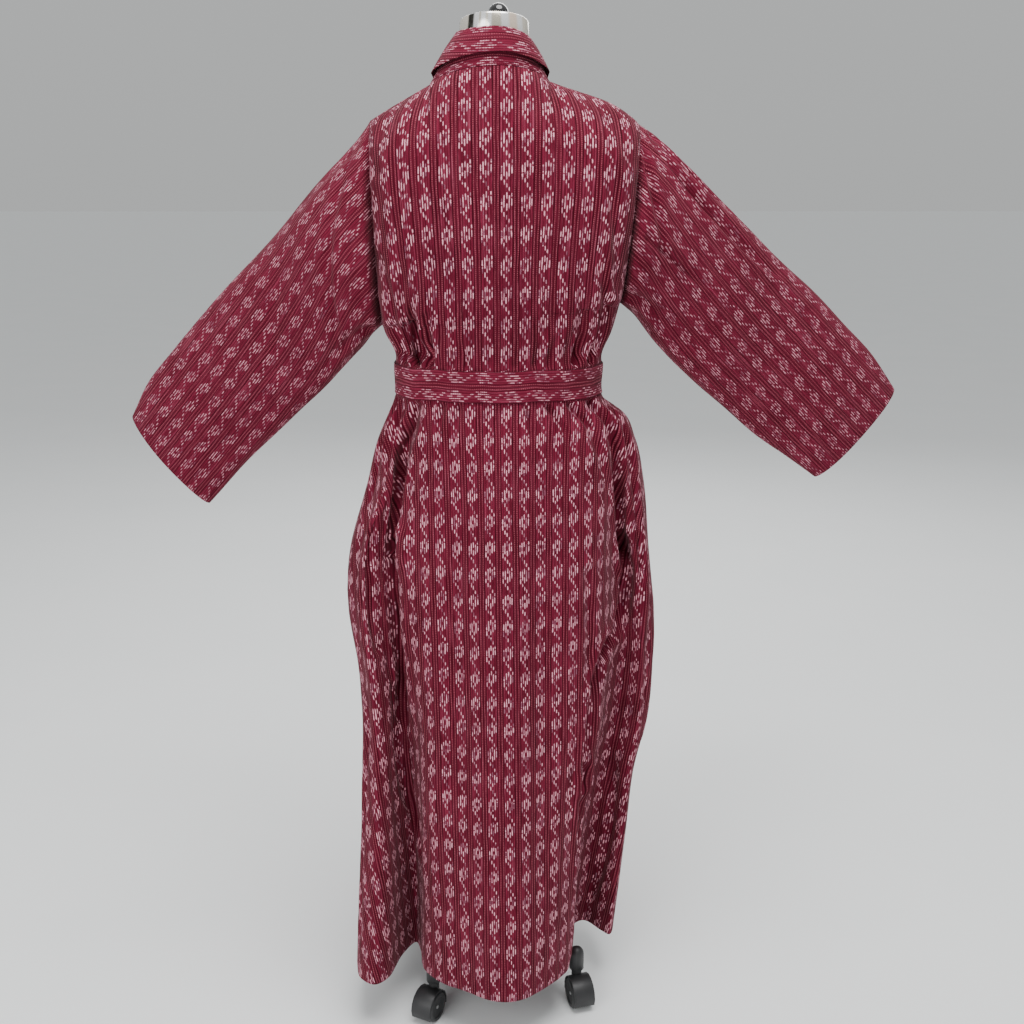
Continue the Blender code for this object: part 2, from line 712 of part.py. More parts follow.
def collar_grids(back, front, back_n, front_n, inset):
    """Outer face of the stand, row by row from the neck seam to the fold line, and its normals."""
    columns = neck_columns(back, front, back_n, front_n, inset)
    low = np.array([point for point, _, _ in columns])
    seam_normals = np.array([normal for _, normal, _ in columns])
    lapped = 2.0 * LAP_COLUMNS
    insets = [inset * (1.0 - smooth_step(lapped, lapped + 2.0, index)) for index in range(len(columns))]
    high = np.array([fold_line(degrees, set_in) for (_, _, degrees), set_in in zip(columns, insets)])
    shares = np.linspace(0.0, 1.0, STAND_ROWS + 1)
    grid = np.array([low + (high - low) * share for share in shares])
    normals = unit(np.cross(np.gradient(grid, axis=1), np.gradient(grid, axis=0)))
    if np.sum(normals[:, :, :2] * grid[:, :, :2]) < 0.0:
        normals = -normals
    return grid, normals, seam_normals, columns


def make_collar(back, front, back_n, front_n, material, root):
    """The stand on the neckline and the fall turned down over it."""
    grid, normals, seam_normals, columns = collar_grids(back, front, back_n, front_n, LAP_INSET)
    inner = grid - normals * WALL
    inner[0] = grid[0] - seam_normals * WALL
    lift = unit(grid[1] - grid[0]) * SEAM + np.array([0.0, 0.0, 2.0 * SEAM])
    outer = grid.copy()
    outer[0] += lift
    inner[0] += lift
    make_wall("collar_stand", outer, inner, material, root)

    grid, normals, _, columns = collar_grids(back, front, back_n, front_n, 0.0)
    last = len(columns) - 1
    fall = []
    for index, (_, _, degrees) in enumerate(columns[FALL_START:-FALL_START], FALL_START):
        share = min(column_width(degrees) / column_width(NECK_COLUMN * STEP), 1.0) ** 2
        middle = FALL_SHARE["back"] if math.sin(math.radians(degrees)) > 0.0 else FALL_SHARE["front"]
        reach = middle + (FALL_SHARE["side"] - middle) * share
        reach += FALL_POINT * (1.0 - smooth_step(0.0, FALL_START + 2.0, min(index, last - index)))
        out = unit(normals[-1, index] + normals[0, index])
        drop = (grid[0, index] - grid[-1, index]) * reach
        fall.append([grid[-1, index] + drop * t + out * (LAYER + FALL_FLARE * t)
                     for t in np.linspace(0.0, 1.0, FALL_ROWS + 1)])
    inner = np.array(fall).transpose(1, 0, 2)
    out = unit(normals[-1] + normals[0])[FALL_START:-FALL_START]
    make_wall("collar_fall", inner + out * WALL, inner, material, root)


def make_belt(material, root):
    """The belt round the waist, its knot and its two tails."""
    heights = (BELT_TOP, BELT_BOTTOM)
    grid = np.array([[outline_point(STEP * column, z) for column in range(COLUMNS)] for z in heights])
    normals = ring_normals(grid)
    inner = grid + normals * LAYER
    outer = inner + normals * WALL
    make_wall("belt", outer, inner, material, root, closed=True)

    front_y = -read_table(DEPTHS, BELT_TOP)[1] - LAYER - WALL - REST
    knot = make_object("belt_knot", *block(KNOT["width"], KNOT["depth"], KNOT["height"]), material, root)
    knot.location = (0.0, front_y - 0.5 * KNOT["depth"], 0.5 * (BELT_TOP + BELT_BOTTOM))
    soften(knot, KNOT["rounding"], 2)
    for name, top_x, end_x, length in TAILS:
        make_tail(name, top_x, end_x, length, material, root)


def front_depth(x, z):
    """How far the front stands out at x, at the height z."""
    angles = np.linspace(200.0, 340.0, 281)
    points = np.array([body_point(degrees, z) for degrees in angles])
    near = points[np.abs(points[:, 0] - x) < 0.5 * TAIL_WIDTH + 0.004]
    return -near[:, 1].min()


def make_tail(name, top_x, end_x, length, material, root):
    """A tail of the belt, lying on the front of the skirt below the belt."""
    start = BELT_BOTTOM - TAIL_DROP
    rows = []
    for row in range(TAIL_ROWS + 1):
        share = row / TAIL_ROWS
        z = start - length * share
        x = top_x + (end_x - top_x) * share
        y = -front_depth(x, z) - TAIL_GAP - TAIL_EASE * smooth_step(0.0, 0.15, share)
        rows.append([(x + 0.5 * TAIL_WIDTH * side, y, z) for side in (1.0, 0.0, -1.0)])
    outer = np.array(rows)
    inner = outer + np.array([0.0, WALL, 0.0])
    make_wall(name, outer, inner, material, root)


def block(width, depth, height):
    """Points and faces of a block."""
    signs = [(x, y, z) for x in (-1, 1) for y in (-1, 1) for z in (-1, 1)]
    points = [(0.5 * x * width, 0.5 * y * depth, 0.5 * z * height) for x, y, z in signs]
    faces = [(0, 1, 3, 2), (4, 6, 7, 5), (0, 4, 5, 1), (2, 3, 7, 6), (0, 2, 6, 4), (1, 5, 7, 3)]
    return points, faces


def soften(thing, width, segments):
    """Round an object's edges."""
    bevel = thing.modifiers.new("rounded", "BEVEL")
    bevel.width = width
    bevel.segments = segments


def loft(rings):
    """Points and faces of a solid through rings of the same count, with flat ends."""
    count = len(rings[0])
    points = [point for ring in rings for point in ring]
    faces = []
    for row in range(len(rings) - 1):
        for column in range(count):
            a = row * count + column
            b = row * count + (column + 1) % count
            faces.append((a, b, b + count, a + count))
    faces.append(tuple(reversed(range(count))))
    faces.append(tuple(range((len(rings) - 1) * count, len(rings) * count)))
    return points, faces


def form_ring(z, left, right, back, front, tilt, squareness):
    """One ring of the dress form."""
    ring = []
    power = 2.0 / squareness
    for step in range(FORM_SEGMENTS):
        angle = 2.0 * math.pi * step / FORM_SEGMENTS
        c, s = math.cos(angle), math.sin(angle)
        x = (left if c > 0.0 else -right) * abs(c) ** power
        y = (back if s > 0.0 else -front) * abs(s) ** power
        ring.append((x, y, z + y * math.tan(math.radians(tilt))))
    return ring


def shoulder_reach(z, side):
    """How far out the form reaches at a height, just under the cloth's shoulder seam."""
    run = np.linspace(0.0, side["tip_x"], 400)
    slope = math.atan2(side["neck_z"] - side["tip_z"], side["tip_x"] - side["neck_x"])
    under = [ridge_height(x, side) - (WALL + SHOULDER_CLEARANCE) / math.cos(slope) for x in run]
    return float(np.interp(-z, -np.array(under), run))


def make_form(material, root):
    """The smooth torso, from its flat underside to its neck."""
    rings = [form_ring(*row) for row in FORM]
    for share, back, front, squareness in FORM_SHOULDERS:
        z = FORM_SHOULDER_Z - FORM_SHOULDER_DROP * share
        left = shoulder_reach(z, SHOULDERS["left"])
        right = shoulder_reach(z, SHOULDERS["right"])
        rings.append(form_ring(z, left, right, back, front, 0.0, squareness))
    rings += [form_ring(*row) for row in FORM_NECK]
    make_object("torso", *loft(rings), material, root)


def turned(name, profile, segments, material, root):
    """A turned solid: radius and height down its outer side, from the axis to the axis."""
    points = []
    rows = []
    for radius, z in profile:
        if radius < 1e-7:
            rows.append([len(points)] * segments)
            points.append((0.0, 0.0, z))
            continue
        rows.append(list(range(len(points), len(points) + segments)))
        for step in range(segments):
            angle = 2.0 * math.pi * (step + 0.5) / segments
            points.append((radius * math.cos(angle), radius * math.sin(angle), z))
    faces = []
    for upper, lower in zip(rows, rows[1:]):
        for step in range(segments):
            after = (step + 1) % segments
            corners = (upper[step], lower[step], lower[after], upper[after])
            corners = tuple(dict.fromkeys(corners))
            if len(corners) > 2:
                faces.append(corners)
    return make_object(name, points, faces, material, root)


def drum(radius, low, high):
    """Profile of a plain cylinder."""
    return [(0.0, high), (radius, high), (radius, low), (0.0, low)]


def arc(radius, start, end, steps, centre_z=0.0):
    """Points of an arc in a profile, angles in degrees from level."""
    angles = np.radians(np.linspace(start, end, steps))
    return [(radius * math.cos(angle), centre_z + radius * math.sin(angle)) for angle in angles]


def make_neck(chrome, black, root):
    """The chromed cap on the neck and the ball on top of it."""
    rounded = reversed(arc(CAP_EDGE, 0.0, 90.0, 4, CAP_HEIGHT - CAP_EDGE))
    profile = [(0.0, CAP_HEIGHT + CAP_CROWN), (0.5 * CAP_RADIUS, CAP_HEIGHT + 0.75 * CAP_CROWN)]
    profile += [(CAP_RADIUS - CAP_EDGE + x, z) for x, z in rounded]
    profile += [(CAP_RADIUS, 0.0), (0.0, 0.0)]
    cap = turned("neck_cap", profile, 28, chrome, root)
    top = FORM_NECK[-1][0] + REST
    cap.location = (NECK_X, 0.0, top)
    cap.rotation_euler = (NECK_TILT, 0.0, 0.0)
    seat = CAP_HEIGHT + CAP_CROWN + REST
    flat = 0.45 * KNOB_RADIUS
    profile = [(0.0, KNOB_RADIUS + flat)]
    profile += [point for point in reversed(arc(KNOB_RADIUS, -10.0, 75.0, 6, flat))]
    profile += [(0.8 * KNOB_RADIUS, 0.0), (0.0, 0.0)]
    knob = turned("neck_knob", profile, 16, black, root)
    knob.location = (KNOB_X, -math.sin(NECK_TILT) * seat, top + math.cos(NECK_TILT) * seat)
    knob.rotation_euler = (NECK_TILT, 0.0, 0.0)


def clean(thing):
    """Merge what the booleans left doubled, and cut the faces into triangles."""
    work = bmesh.new()
    work.from_mesh(thing.data)
    bmesh.ops.remove_doubles(work, verts=work.verts, dist=MERGE)
    bmesh.ops.dissolve_degenerate(work, edges=work.edges, dist=MERGE)
    bmesh.ops.triangulate(work, faces=work.faces)
    work.to_mesh(thing.data)
    work.free()


def combine(target, piece, operation):
    """Join a piece to an object, or cut it out, and delete the piece."""
    modifier = target.modifiers.new(operation.lower(), "BOOLEAN")
    modifier.operation = operation
    modifier.object = piece
    graph = bpy.context.evaluated_depsgraph_get()
    mesh = bpy.data.meshes.new_from_object(target.evaluated_get(graph))
    target.modifiers.remove(modifier)
    old = target.data
    target.data = mesh
    bpy.data.meshes.remove(old)
    bpy.data.objects.remove(piece, do_unlink=True)


def make_base(black, root):
    """Hub, four legs and the caster sockets at their ends, in one casting, and the pole."""
    stand = bpy.data.objects.new("stand", None)
    bpy.context.scene.collection.objects.link(stand)
    stand.parent = root
    stand.location = (STAND_X, STAND_Y, 0.0)
    rim = HUB["radius"]
    hub_profile = [(0.0, HUB["high"]), (HUB["crown"], HUB["high"]), (rim, HUB["shoulder"]),
                   (rim, HUB["low"]), (0.0, HUB["low"])]
    base = turned("star_base", hub_profile, 16, black, stand)
    for index in range(4):
        angle = FIRST_LEG + 0.5 * math.pi * index
        leg = turned("leg", drum(LEG_RADIUS, *LEG_ENDS), 8, black, stand)
        leg.location = (0.0, 0.0, LEG_Z)
        leg.rotation_euler = (0.0, 0.5 * math.pi, angle)
        bpy.context.view_layer.update()
        combine(base, leg, "UNION")
        radius = SOCKET["radius"]
        profile = [(0.0, SOCKET["high"])]
        profile += reversed(arc(radius, 0.0, 70.0, 4, SOCKET["high"] - radius))
        profile += [(radius, SOCKET["low"]), (0.0, SOCKET["low"])]
        socket = turned("socket", profile, 14, black, stand)
        socket.location = (LEG_REACH * math.cos(angle), LEG_REACH * math.sin(angle), 0.0)
        bore = turned("bore", drum(SOCKET["bore"], FOOT_Z, SOCKET["bore_top"]), 12, black, stand)
        bore.location = socket.location
        bpy.context.view_layer.update()
        combine(base, socket, "UNION")
        combine(base, bore, "DIFFERENCE")
    clean(base)
    bpy.context.view_layer.update()
    turned("pole", drum(POLE_RADIUS, HUB["high"] + REST, FORM[0][0] - REST), 16, black, stand)
    return stand


def hood_outline():
    """Outline of the hood's shell over the wheels, in the wheel's plane."""
    outer = arc(HOOD["outer"], HOOD["start"], HOOD["end"], 10)
    inner = arc(HOOD["inner"], HOOD["end"], HOOD["start"], 10)
    return outer + inner


def extruded(name, outline, half, material, root):
    """An outline in the plane across Y, drawn out to both sides of it."""
    count = len(outline)
    points = [(x, -half, z) for x, z in outline] + [(x, half, z) for x, z in outline]
    faces = [tuple(reversed(range(count))), tuple(range(count, 2 * count))]
    for index in range(count):
        after = (index + 1) % count
        faces.append((index, after, after + count, index + count))
    return make_object(name, points, faces, material, root)


def place(thing, location, turn=0.0):
    """Set a piece of the caster, turned about X by quarter turns."""
    thing.location = location
    thing.rotation_euler = (turn * 0.5 * math.pi, 0.0, 0.0)
    bpy.context.view_layer.update()
    return thing


def make_fork(black):
    """Hood, web and stem of a caster in one moulding. The wheel trails along +X of the stem."""
    centre = (TRAIL, 0.0, WHEEL_Z)
    web_half = HOOD["web"]
    room_radius = WHEEL_RADIUS + WHEEL_ROOM
    rim = 0.5 * (HOOD["inner"] + HOOD["outer"])
    fork = place(extruded("fork", hood_outline(), HOOD["half_width"], black, None), centre)
    web = turned("web", drum(rim, -web_half, web_half), 18, black, None)
    place(web, centre, 1.0)
    low_cut = make_object("low_cut", *block(3.0 * rim, 3.0 * rim, rim), black, None)
    place(low_cut, (TRAIL, 0.0, WHEEL_Z - WEB_LOW - 0.5 * rim))
    bore_radius = AXLE_RADIUS + REST
    bore = turned("bore", drum(bore_radius, -CUT_REACH, CUT_REACH), 12, black, None)
    place(bore, centre, 1.0)
    stem_top = SOCKET["bore_top"] - 0.002
    shoulder = SOCKET["low"] - REST
    stem = turned("stem", [(0.0, stem_top), (STEM_RADIUS, stem_top), (STEM_RADIUS, shoulder),
                           (STEM_FOOT, shoulder), (STEM_FOOT, FOOT_Z), (0.0, FOOT_Z)], 10, black, None)
    combine(web, low_cut, "DIFFERENCE")
    combine(web, bore, "DIFFERENCE")
    combine(fork, web, "UNION")
    for low, high in ((HOOD["foot"], CUT_REACH), (-CUT_REACH, -HOOD["foot"])):
        room = turned("room", drum(room_radius, low, high), 18, black, None)
        place(room, centre, 1.0)
        combine(stem, room, "DIFFERENCE")
    combine(fork, stem, "UNION")
    clean(fork)
    return fork


def make_casters(black, grey, stand):
    """Four swivelling casters, each with a hooded fork, an axle and two wheels."""
    fork = make_fork(black)
    axle = turned("axle", drum(AXLE_RADIUS, -AXLE_HALF, AXLE_HALF), 12, grey, None)
    wheel = make_wheel(black)
    centre = (TRAIL, 0.0, WHEEL_Z)
    pieces = (("fork", fork, centre, 0.0), ("axle", axle, centre, 1.0),
              ("wheel_a", wheel, centre, -1.0), ("wheel_b", wheel, centre, 1.0))
    for index, heading in enumerate(CASTER_HEADINGS):
        angle = FIRST_LEG + 0.5 * math.pi * index
        label = f"caster_{index + 1}"
        pivot = bpy.data.objects.new(label, None)
        bpy.context.scene.collection.objects.link(pivot)
        pivot.parent = stand
        pivot.location = (LEG_REACH * math.cos(angle), LEG_REACH * math.sin(angle), 0.0)
        pivot.rotation_euler = (0.0, 0.0, math.radians(heading))
        for kind, pattern, location, turn in pieces:
            piece = bpy.data.objects.new(f"{label}_{kind}", pattern.data)
            bpy.context.scene.collection.objects.link(piece)
            piece.parent = pivot
            place(piece, location, turn)
    for pattern in (fork, axle, wheel):
        bpy.data.objects.remove(pattern, do_unlink=True)


def make_wheel(black):
    """A wheel with a rounded tread and a shallow dish in its outer face."""
    near, far = WHEEL_FACES
    hole = AXLE_RADIUS + REST
    step_in = far - WHEEL_EDGE
    outline = [(hole, step_in), (WHEEL_DISH, step_in), (WHEEL_DISH + 0.5 * WHEEL_EDGE, far),
               (WHEEL_RADIUS - WHEEL_EDGE, far), (WHEEL_RADIUS, step_in),
               (WHEEL_RADIUS, near), (hole, near)]
    segments = 16
    points = []
    for radius, height in outline:
        for step in range(segments):
            angle = 2.0 * math.pi * (step + 0.5) / segments
            points.append((radius * math.cos(angle), radius * math.sin(angle), height))
    faces = []
    for row in range(len(outline)):
        below = (row + 1) % len(outline)
        for step in range(segments):
            after = (step + 1) % segments
            faces.append((row * segments + step, below * segments + step,
                          below * segments + after, row * segments + after))
    return make_object("wheel", points, faces, black, None)


def set_origin(root):
    """Move the whole part so that the middle of its box stands on the origin."""
    bpy.context.view_layer.update()
    graph = bpy.context.evaluated_depsgraph_get()
    corners = []
    for thing in bpy.data.objects:
        if thing.type == "MESH":
            shown = thing.evaluated_get(graph)
            points = np.array([shown.matrix_world @ vertex.co for vertex in shown.data.vertices])
            corners += [points.min(axis=0), points.max(axis=0)]
    low, high = np.min(corners, axis=0), np.max(corners, axis=0)
    root.location = (-0.5 * (low[0] + high[0]), -0.5 * (low[1] + high[1]), -low[2])


def main():
    clear_scene()
    cloth = make_material("robe_cotton", (0.20, 0.025, 0.055), 0.85)
    chrome = make_material("chrome", (0.75, 0.72, 0.68), 0.12, 1.0)
    linen = make_material("form_cover", (0.62, 0.58, 0.50), 0.9)
    black = make_material("black_plastic", (0.03, 0.03, 0.03), 0.4)
    gloss = make_material("black_gloss", (0.02, 0.02, 0.02), 0.12)
    steel = make_material("steel", (0.55, 0.55, 0.55), 0.3, 1.0)
    root = bpy.data.objects.new("dressed_form", None)
    bpy.context.scene.collection.objects.link(root)

    back, front = body_rows()
    back_n, front_n = body_normals(back, front)
    middle = HALF // 2
    make_panel("back", back, back_n, cloth, root)
    first = middle - LAP_COLUMNS
    make_panel("front_left", front[:, first:], front_n[:, first:], cloth, root)
    lapped = lap_grid(front, front_n)
    make_panel("front_right", lapped, front_n[:, :lapped.shape[1]], cloth, root)
    make_sleeve("sleeve_left", LEFT_SLEEVE, back, front, back_n, front_n, True, cloth, root)
    make_sleeve("sleeve_right", RIGHT_SLEEVE, back, front, back_n, front_n, False, cloth, root)
    make_collar(back, front, back_n, front_n, cloth, root)
    make_belt(cloth, root)
    make_form(linen, root)
    make_neck(chrome, gloss, root)
    stand = make_base(black, root)
    make_casters(black, steel, stand)
    set_origin(root)


main()
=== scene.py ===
"""Maroon belted robe on a limbless dress form, seen from behind: what the camera sees."""
import math
import bmesh
import bpy
import numpy as np
from mathutils import Matrix, Vector
from mathutils.bvhtree import BVHTree


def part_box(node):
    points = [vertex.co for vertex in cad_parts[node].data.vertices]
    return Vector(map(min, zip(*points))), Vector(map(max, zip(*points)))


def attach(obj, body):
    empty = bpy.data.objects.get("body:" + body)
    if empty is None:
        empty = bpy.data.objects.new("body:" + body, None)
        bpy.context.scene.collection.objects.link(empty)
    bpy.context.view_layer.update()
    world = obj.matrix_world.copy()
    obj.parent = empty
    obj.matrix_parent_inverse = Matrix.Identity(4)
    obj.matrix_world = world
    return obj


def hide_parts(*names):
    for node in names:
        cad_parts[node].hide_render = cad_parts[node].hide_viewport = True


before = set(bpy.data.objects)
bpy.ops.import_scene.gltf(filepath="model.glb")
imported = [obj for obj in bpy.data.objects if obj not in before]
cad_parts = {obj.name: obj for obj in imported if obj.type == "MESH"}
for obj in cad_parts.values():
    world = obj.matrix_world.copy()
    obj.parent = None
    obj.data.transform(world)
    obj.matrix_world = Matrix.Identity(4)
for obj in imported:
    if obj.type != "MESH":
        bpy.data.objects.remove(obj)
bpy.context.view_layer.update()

# All shapes below are worked out about the upright line through the neck, then set over by this
SHIFT = np.array([0.0230, -0.0039726, -0.0220612])
MM_PER_METRE = 1000.0

# Cloth and the body's columns, as in the solids: wall and gap between layers, then in degrees, which
# run from the left side over the back, the neck's ends and half the lap, and the lower front's inset
WALL = 0.0016
LAYER = 0.0007
NECK_ANGLE = 65.0
LAP_ANGLE = 10.0
LAP_INSET = WALL + 0.0013

# Shoulders, armholes and neckline, as in the solids
SHOULDERS = {
    "left": dict(neck_x=0.098, neck_z=1.450, tip_x=0.182, tip_z=1.402, bulge=0.001, under_z=1.114),
    "right": dict(neck_x=0.070, neck_z=1.455, tip_x=0.198, tip_z=1.397, bulge=0.009, under_z=1.147),
}
# The neckline's middle behind and in front, with the half depth at the armhole
NAPE = dict(y=0.065, z=1.470, armhole=0.078)
THROAT = dict(y=0.082, z=1.405, armhole=0.070)
NECK_CURVE = 0.8
RIDGE_PEAK = 1.520
SHOULDER_ARCH = 0.27
SEAM_FADE = 8.0
BULGE_POWER = 1.5

# Belt and hem
BELT_TOP = 1.060
BELT_BOTTOM = 1.015
BELT_MARGIN = 0.002
BAND_TOP = BELT_TOP + BELT_MARGIN
BAND_BOTTOM = BELT_BOTTOM - BELT_MARGIN
HEM = 0.108

# Half widths of the body: height, left, right
SIDES = (
    (1.150, 0.180, 0.177),
    (1.105, 0.171, 0.165),
    (1.068, 0.155, 0.151),
    (1.060, 0.155, 0.151),
    (1.015, 0.155, 0.151),
    (1.006, 0.157, 0.155),
    (0.985, 0.166, 0.184),
    (0.945, 0.184, 0.204),
    (0.880, 0.202, 0.219),
    (0.780, 0.230, 0.228),
    (0.680, 0.233, 0.237),
    (0.600, 0.221, 0.238),
    (0.500, 0.215, 0.233),
    (0.400, 0.217, 0.213),
    (0.270, 0.220, 0.200),
    (0.108, 0.228, 0.184),
)
# Half depths of the body: height, back, front
DEPTHS = (
    (1.470, 0.077, 0.050),
    (1.450, 0.082, 0.060),
    (1.405, 0.094, 0.082),
    (1.360, 0.106, 0.104),
    (1.300, 0.113, 0.122),
    (1.220, 0.114, 0.128),
    (1.140, 0.111, 0.121),
    (1.068, 0.104, 0.110),
    (1.060, 0.104, 0.110),
    (1.015, 0.104, 0.110),
    (1.006, 0.106, 0.111),
    (0.945, 0.124, 0.126),
    (0.880, 0.138, 0.138),
    (0.780, 0.156, 0.152),
    (0.680, 0.168, 0.162),
    (0.500, 0.184, 0.176),
    (0.270, 0.200, 0.190),
    (0.108, 0.209, 0.198),
)
# How square the outline is: height, power
SQUARENESS = (
    (1.150, 2.3),
    (1.070, 2.2),
    (1.004, 2.2),
    (0.780, 2.3),
    (0.500, 2.2),
    (0.108, 2.1),
)
CHEST_POWER = 2.0 / SQUARENESS[0][1]
# Plan of the hem, from the left side seam over the back: degrees, x, y
HEM_PLAN = (
    (0, 0.230, 0.000),
    (10, 0.235, 0.048),
    (20, 0.231, 0.115),
    (27, 0.222, 0.148),
    (34, 0.194, 0.163),
    (38, 0.178, 0.146),
    (44, 0.162, 0.088),
    (50, 0.141, 0.052),
    (55, 0.132, 0.074),
    (62, 0.1225, 0.126),
    (68, 0.096, 0.158),
    (76, 0.057, 0.180),
    (84, 0.019, 0.203),
    (90, -0.007, 0.208),
    (96, -0.031, 0.203),
    (104, -0.060, 0.182),
    (112, -0.090, 0.151),
    (120, -0.107, 0.122),
    (128, -0.106, 0.076),
    (136, -0.115, 0.018),
    (144, -0.138, -0.006),
    (154, -0.166, 0.022),
    (162, -0.179, 0.034),
    (170, -0.186, 0.020),
    (180, -0.187, -0.008),
    (192, -0.184, -0.050),
    (204, -0.172, -0.084),
    (214, -0.142, -0.092),
    (222, -0.110, -0.090),
    (230, -0.083, -0.112),
    (238, -0.073, -0.152),
    (248, -0.062, -0.184),
    (258, -0.034, -0.197),
    (270, 0.002, -0.200),
    (284, 0.044, -0.196),
    (293, 0.070, -0.182),
    (300, 0.087, -0.158),
    (308, 0.112, -0.152),
    (316, 0.142, -0.160),
    (324, 0.160, -0.146),
    (332, 0.165, -0.105),
    (339, 0.178, -0.076),
    (348, 0.212, -0.062),
    (354, 0.225, -0.034),
    (360, 0.230, 0.000),
)
HEM_GROWTH = 1.15
# Folds of the skirt, as in the solids: degrees, half width, start, deepest, depth, push x, y
SKIRT_FOLDS = (
    (43, 13, 1.000, 0.830, 0.024, 0.10, -1.00),
    (24, 9, 0.990, 0.900, 0.010, -0.90, -0.44),
    (142, 14, 0.990, 0.800, 0.022, 0.10, -1.00),
    (77, 9, 0.960, 0.700, 0.007, 0, -1),
    (103, 9, 0.960, 0.700, 0.006, 0, -1),
    (215, 14, 1.000, 0.820, 0.022, 0.55, 0.84),
    (243, 10, 0.990, 0.760, 0.010, 0.15, 0.99),
    (299, 10, 0.990, 0.760, 0.012, -0.15, 0.99),
    (331, 14, 1.000, 0.820, 0.020, -0.50, 0.87),
)
# Folds that run up from the belt, as in the solids: degrees, half width, end, depth, and over what
# height they rise
WAIST_FOLDS = (
    (45, 9, 1.150, 0.018),
    (137, 9, 1.125, 0.011),
    (222, 10, 1.150, 0.014),
    (318, 10, 1.150, 0.014),
)
FOLD_RISE = 0.02
# Gathers at the belt: number round the waist, depth, and over what height they rise and fade
GATHERS = 18
GATHER_DEPTH = 0.0045
GATHER_RISE = 0.007
GATHER_FADE = 0.055

# Sleeves, a row for each section: upper edge x, y, z, lower edge x, y, z, half depth
LEFT_SLEEVE = (
    (0.182, 0.000, 1.402, 0.177, 0.000, 1.114, 0.074),
    (0.215, 0.000, 1.360, 0.190, -0.002, 1.101, 0.072),
    (0.262, -0.013, 1.313, 0.207, -0.008, 1.080, 0.062),
    (0.330, -0.038, 1.245, 0.235, -0.025, 1.050, 0.050),
    (0.400, -0.065, 1.178, 0.270, -0.050, 1.012, 0.043),
    (0.464, -0.090, 1.116, 0.322, -0.075, 0.966, 0.038),
    (0.515, -0.107, 1.060, 0.372, -0.095, 0.918, 0.034),
    (0.560, -0.122, 1.010, 0.425, -0.115, 0.866, 0.030),
    (0.592, -0.133, 0.955, 0.477, -0.133, 0.809, 0.026),
)
RIGHT_SLEEVE = (
    (-0.198, 0.000, 1.397, -0.177, 0.000, 1.147, 0.074),
    (-0.228, -0.003, 1.374, -0.188, -0.002, 1.138, 0.072),
    (-0.272, -0.013, 1.337, -0.205, -0.008, 1.122, 0.062),
    (-0.340, -0.035, 1.276, -0.240, -0.022, 1.078, 0.050),
    (-0.410, -0.060, 1.214, -0.292, -0.048, 1.026, 0.043),
    (-0.478, -0.088, 1.158, -0.347, -0.072, 0.979, 0.038),
    (-0.535, -0.108, 1.108, -0.400, -0.092, 0.933, 0.034),
    (-0.590, -0.126, 1.057, -0.458, -0.114, 0.893, 0.030),
    (-0.638, -0.146, 0.995, -0.515, -0.132, 0.851, 0.026),
)
# Share of the length over which the armhole's shape fades, and that over which a direction is read
SLEEVE_JOIN = 0.24
SECTION_STEP = 0.05

# Collar, as in the solids
COLLAR = dict(x=0.007, half_width=0.0525, back=0.0515, front=0.060,
              left_z=1.516, right_z=1.505, back_z=1.520, front_z=1.450)
FALL_SHARE = dict(back=0.66, side=0.81, front=1.02)
FALL_FLARE = 0.004
FALL_POINT = 0.3

# How finely the cloth is drawn: columns to half a turn, and rows in each zone of the body
HALF_COLUMNS = 216
COLUMNS_PER_DEGREE = HALF_COLUMNS / 180.0
CHEST_ROWS = 104
WAIST_ROWS = 26
BELT_ROWS = 6
SKIRT_ROWS = 262
SLEEVE_COLUMNS = 168
SLEEVE_ROWS = 190
# Where a sleeve's rings stand along it, closer together near the armhole
SLEEVE_SHARES = (np.arange(SLEEVE_ROWS + 1) / SLEEVE_ROWS) ** 1.15
# Margin turned under at the hem, and how far under the face a turned margin lies
HEM_TURN = 0.020
CLOTH = 0.0011
# Over which degrees before its edge the lower front is set in
LAP_SET_IN = (30.0, 20.0)
# Smallest length that is divided by, smallest difference of two shares, how far a seam's column is
# moved off it in degrees, and least metres to a degree
TINY = 1e-12
NEAR = 1e-9
NUDGE = 1e-7
LEAST_SCALE = 1e-5

# The weave: how wide and how long one repeat is, as cut, and as it shows at a height, eased by the
# drape: height, millimetres across, millimetres along
REPEAT = (0.0268, 0.0410)
EASE = (
    (1.400, 28.6, 42.8),
    (1.310, 27.9, 42.4),
    (1.240, 26.9, 41.8),
    (1.190, 26.2, 41.2),
    (1.100, 26.3, 40.6),
    (1.000, 25.8, 38.9),
    (0.930, 24.9, 38.4),
    (0.740, 24.6, 38.2),
    (0.500, 25.0, 39.0),
    (0.200, 25.3, 40.0),
)
# Each half's start in the weave: its middle in degrees, metres across, down the bodice, down the skirt
WEAVE_START = dict(back=(90.0, -0.0008, -0.0035, -0.002), front=(270.0, 0.0, 0.0, 0.0))

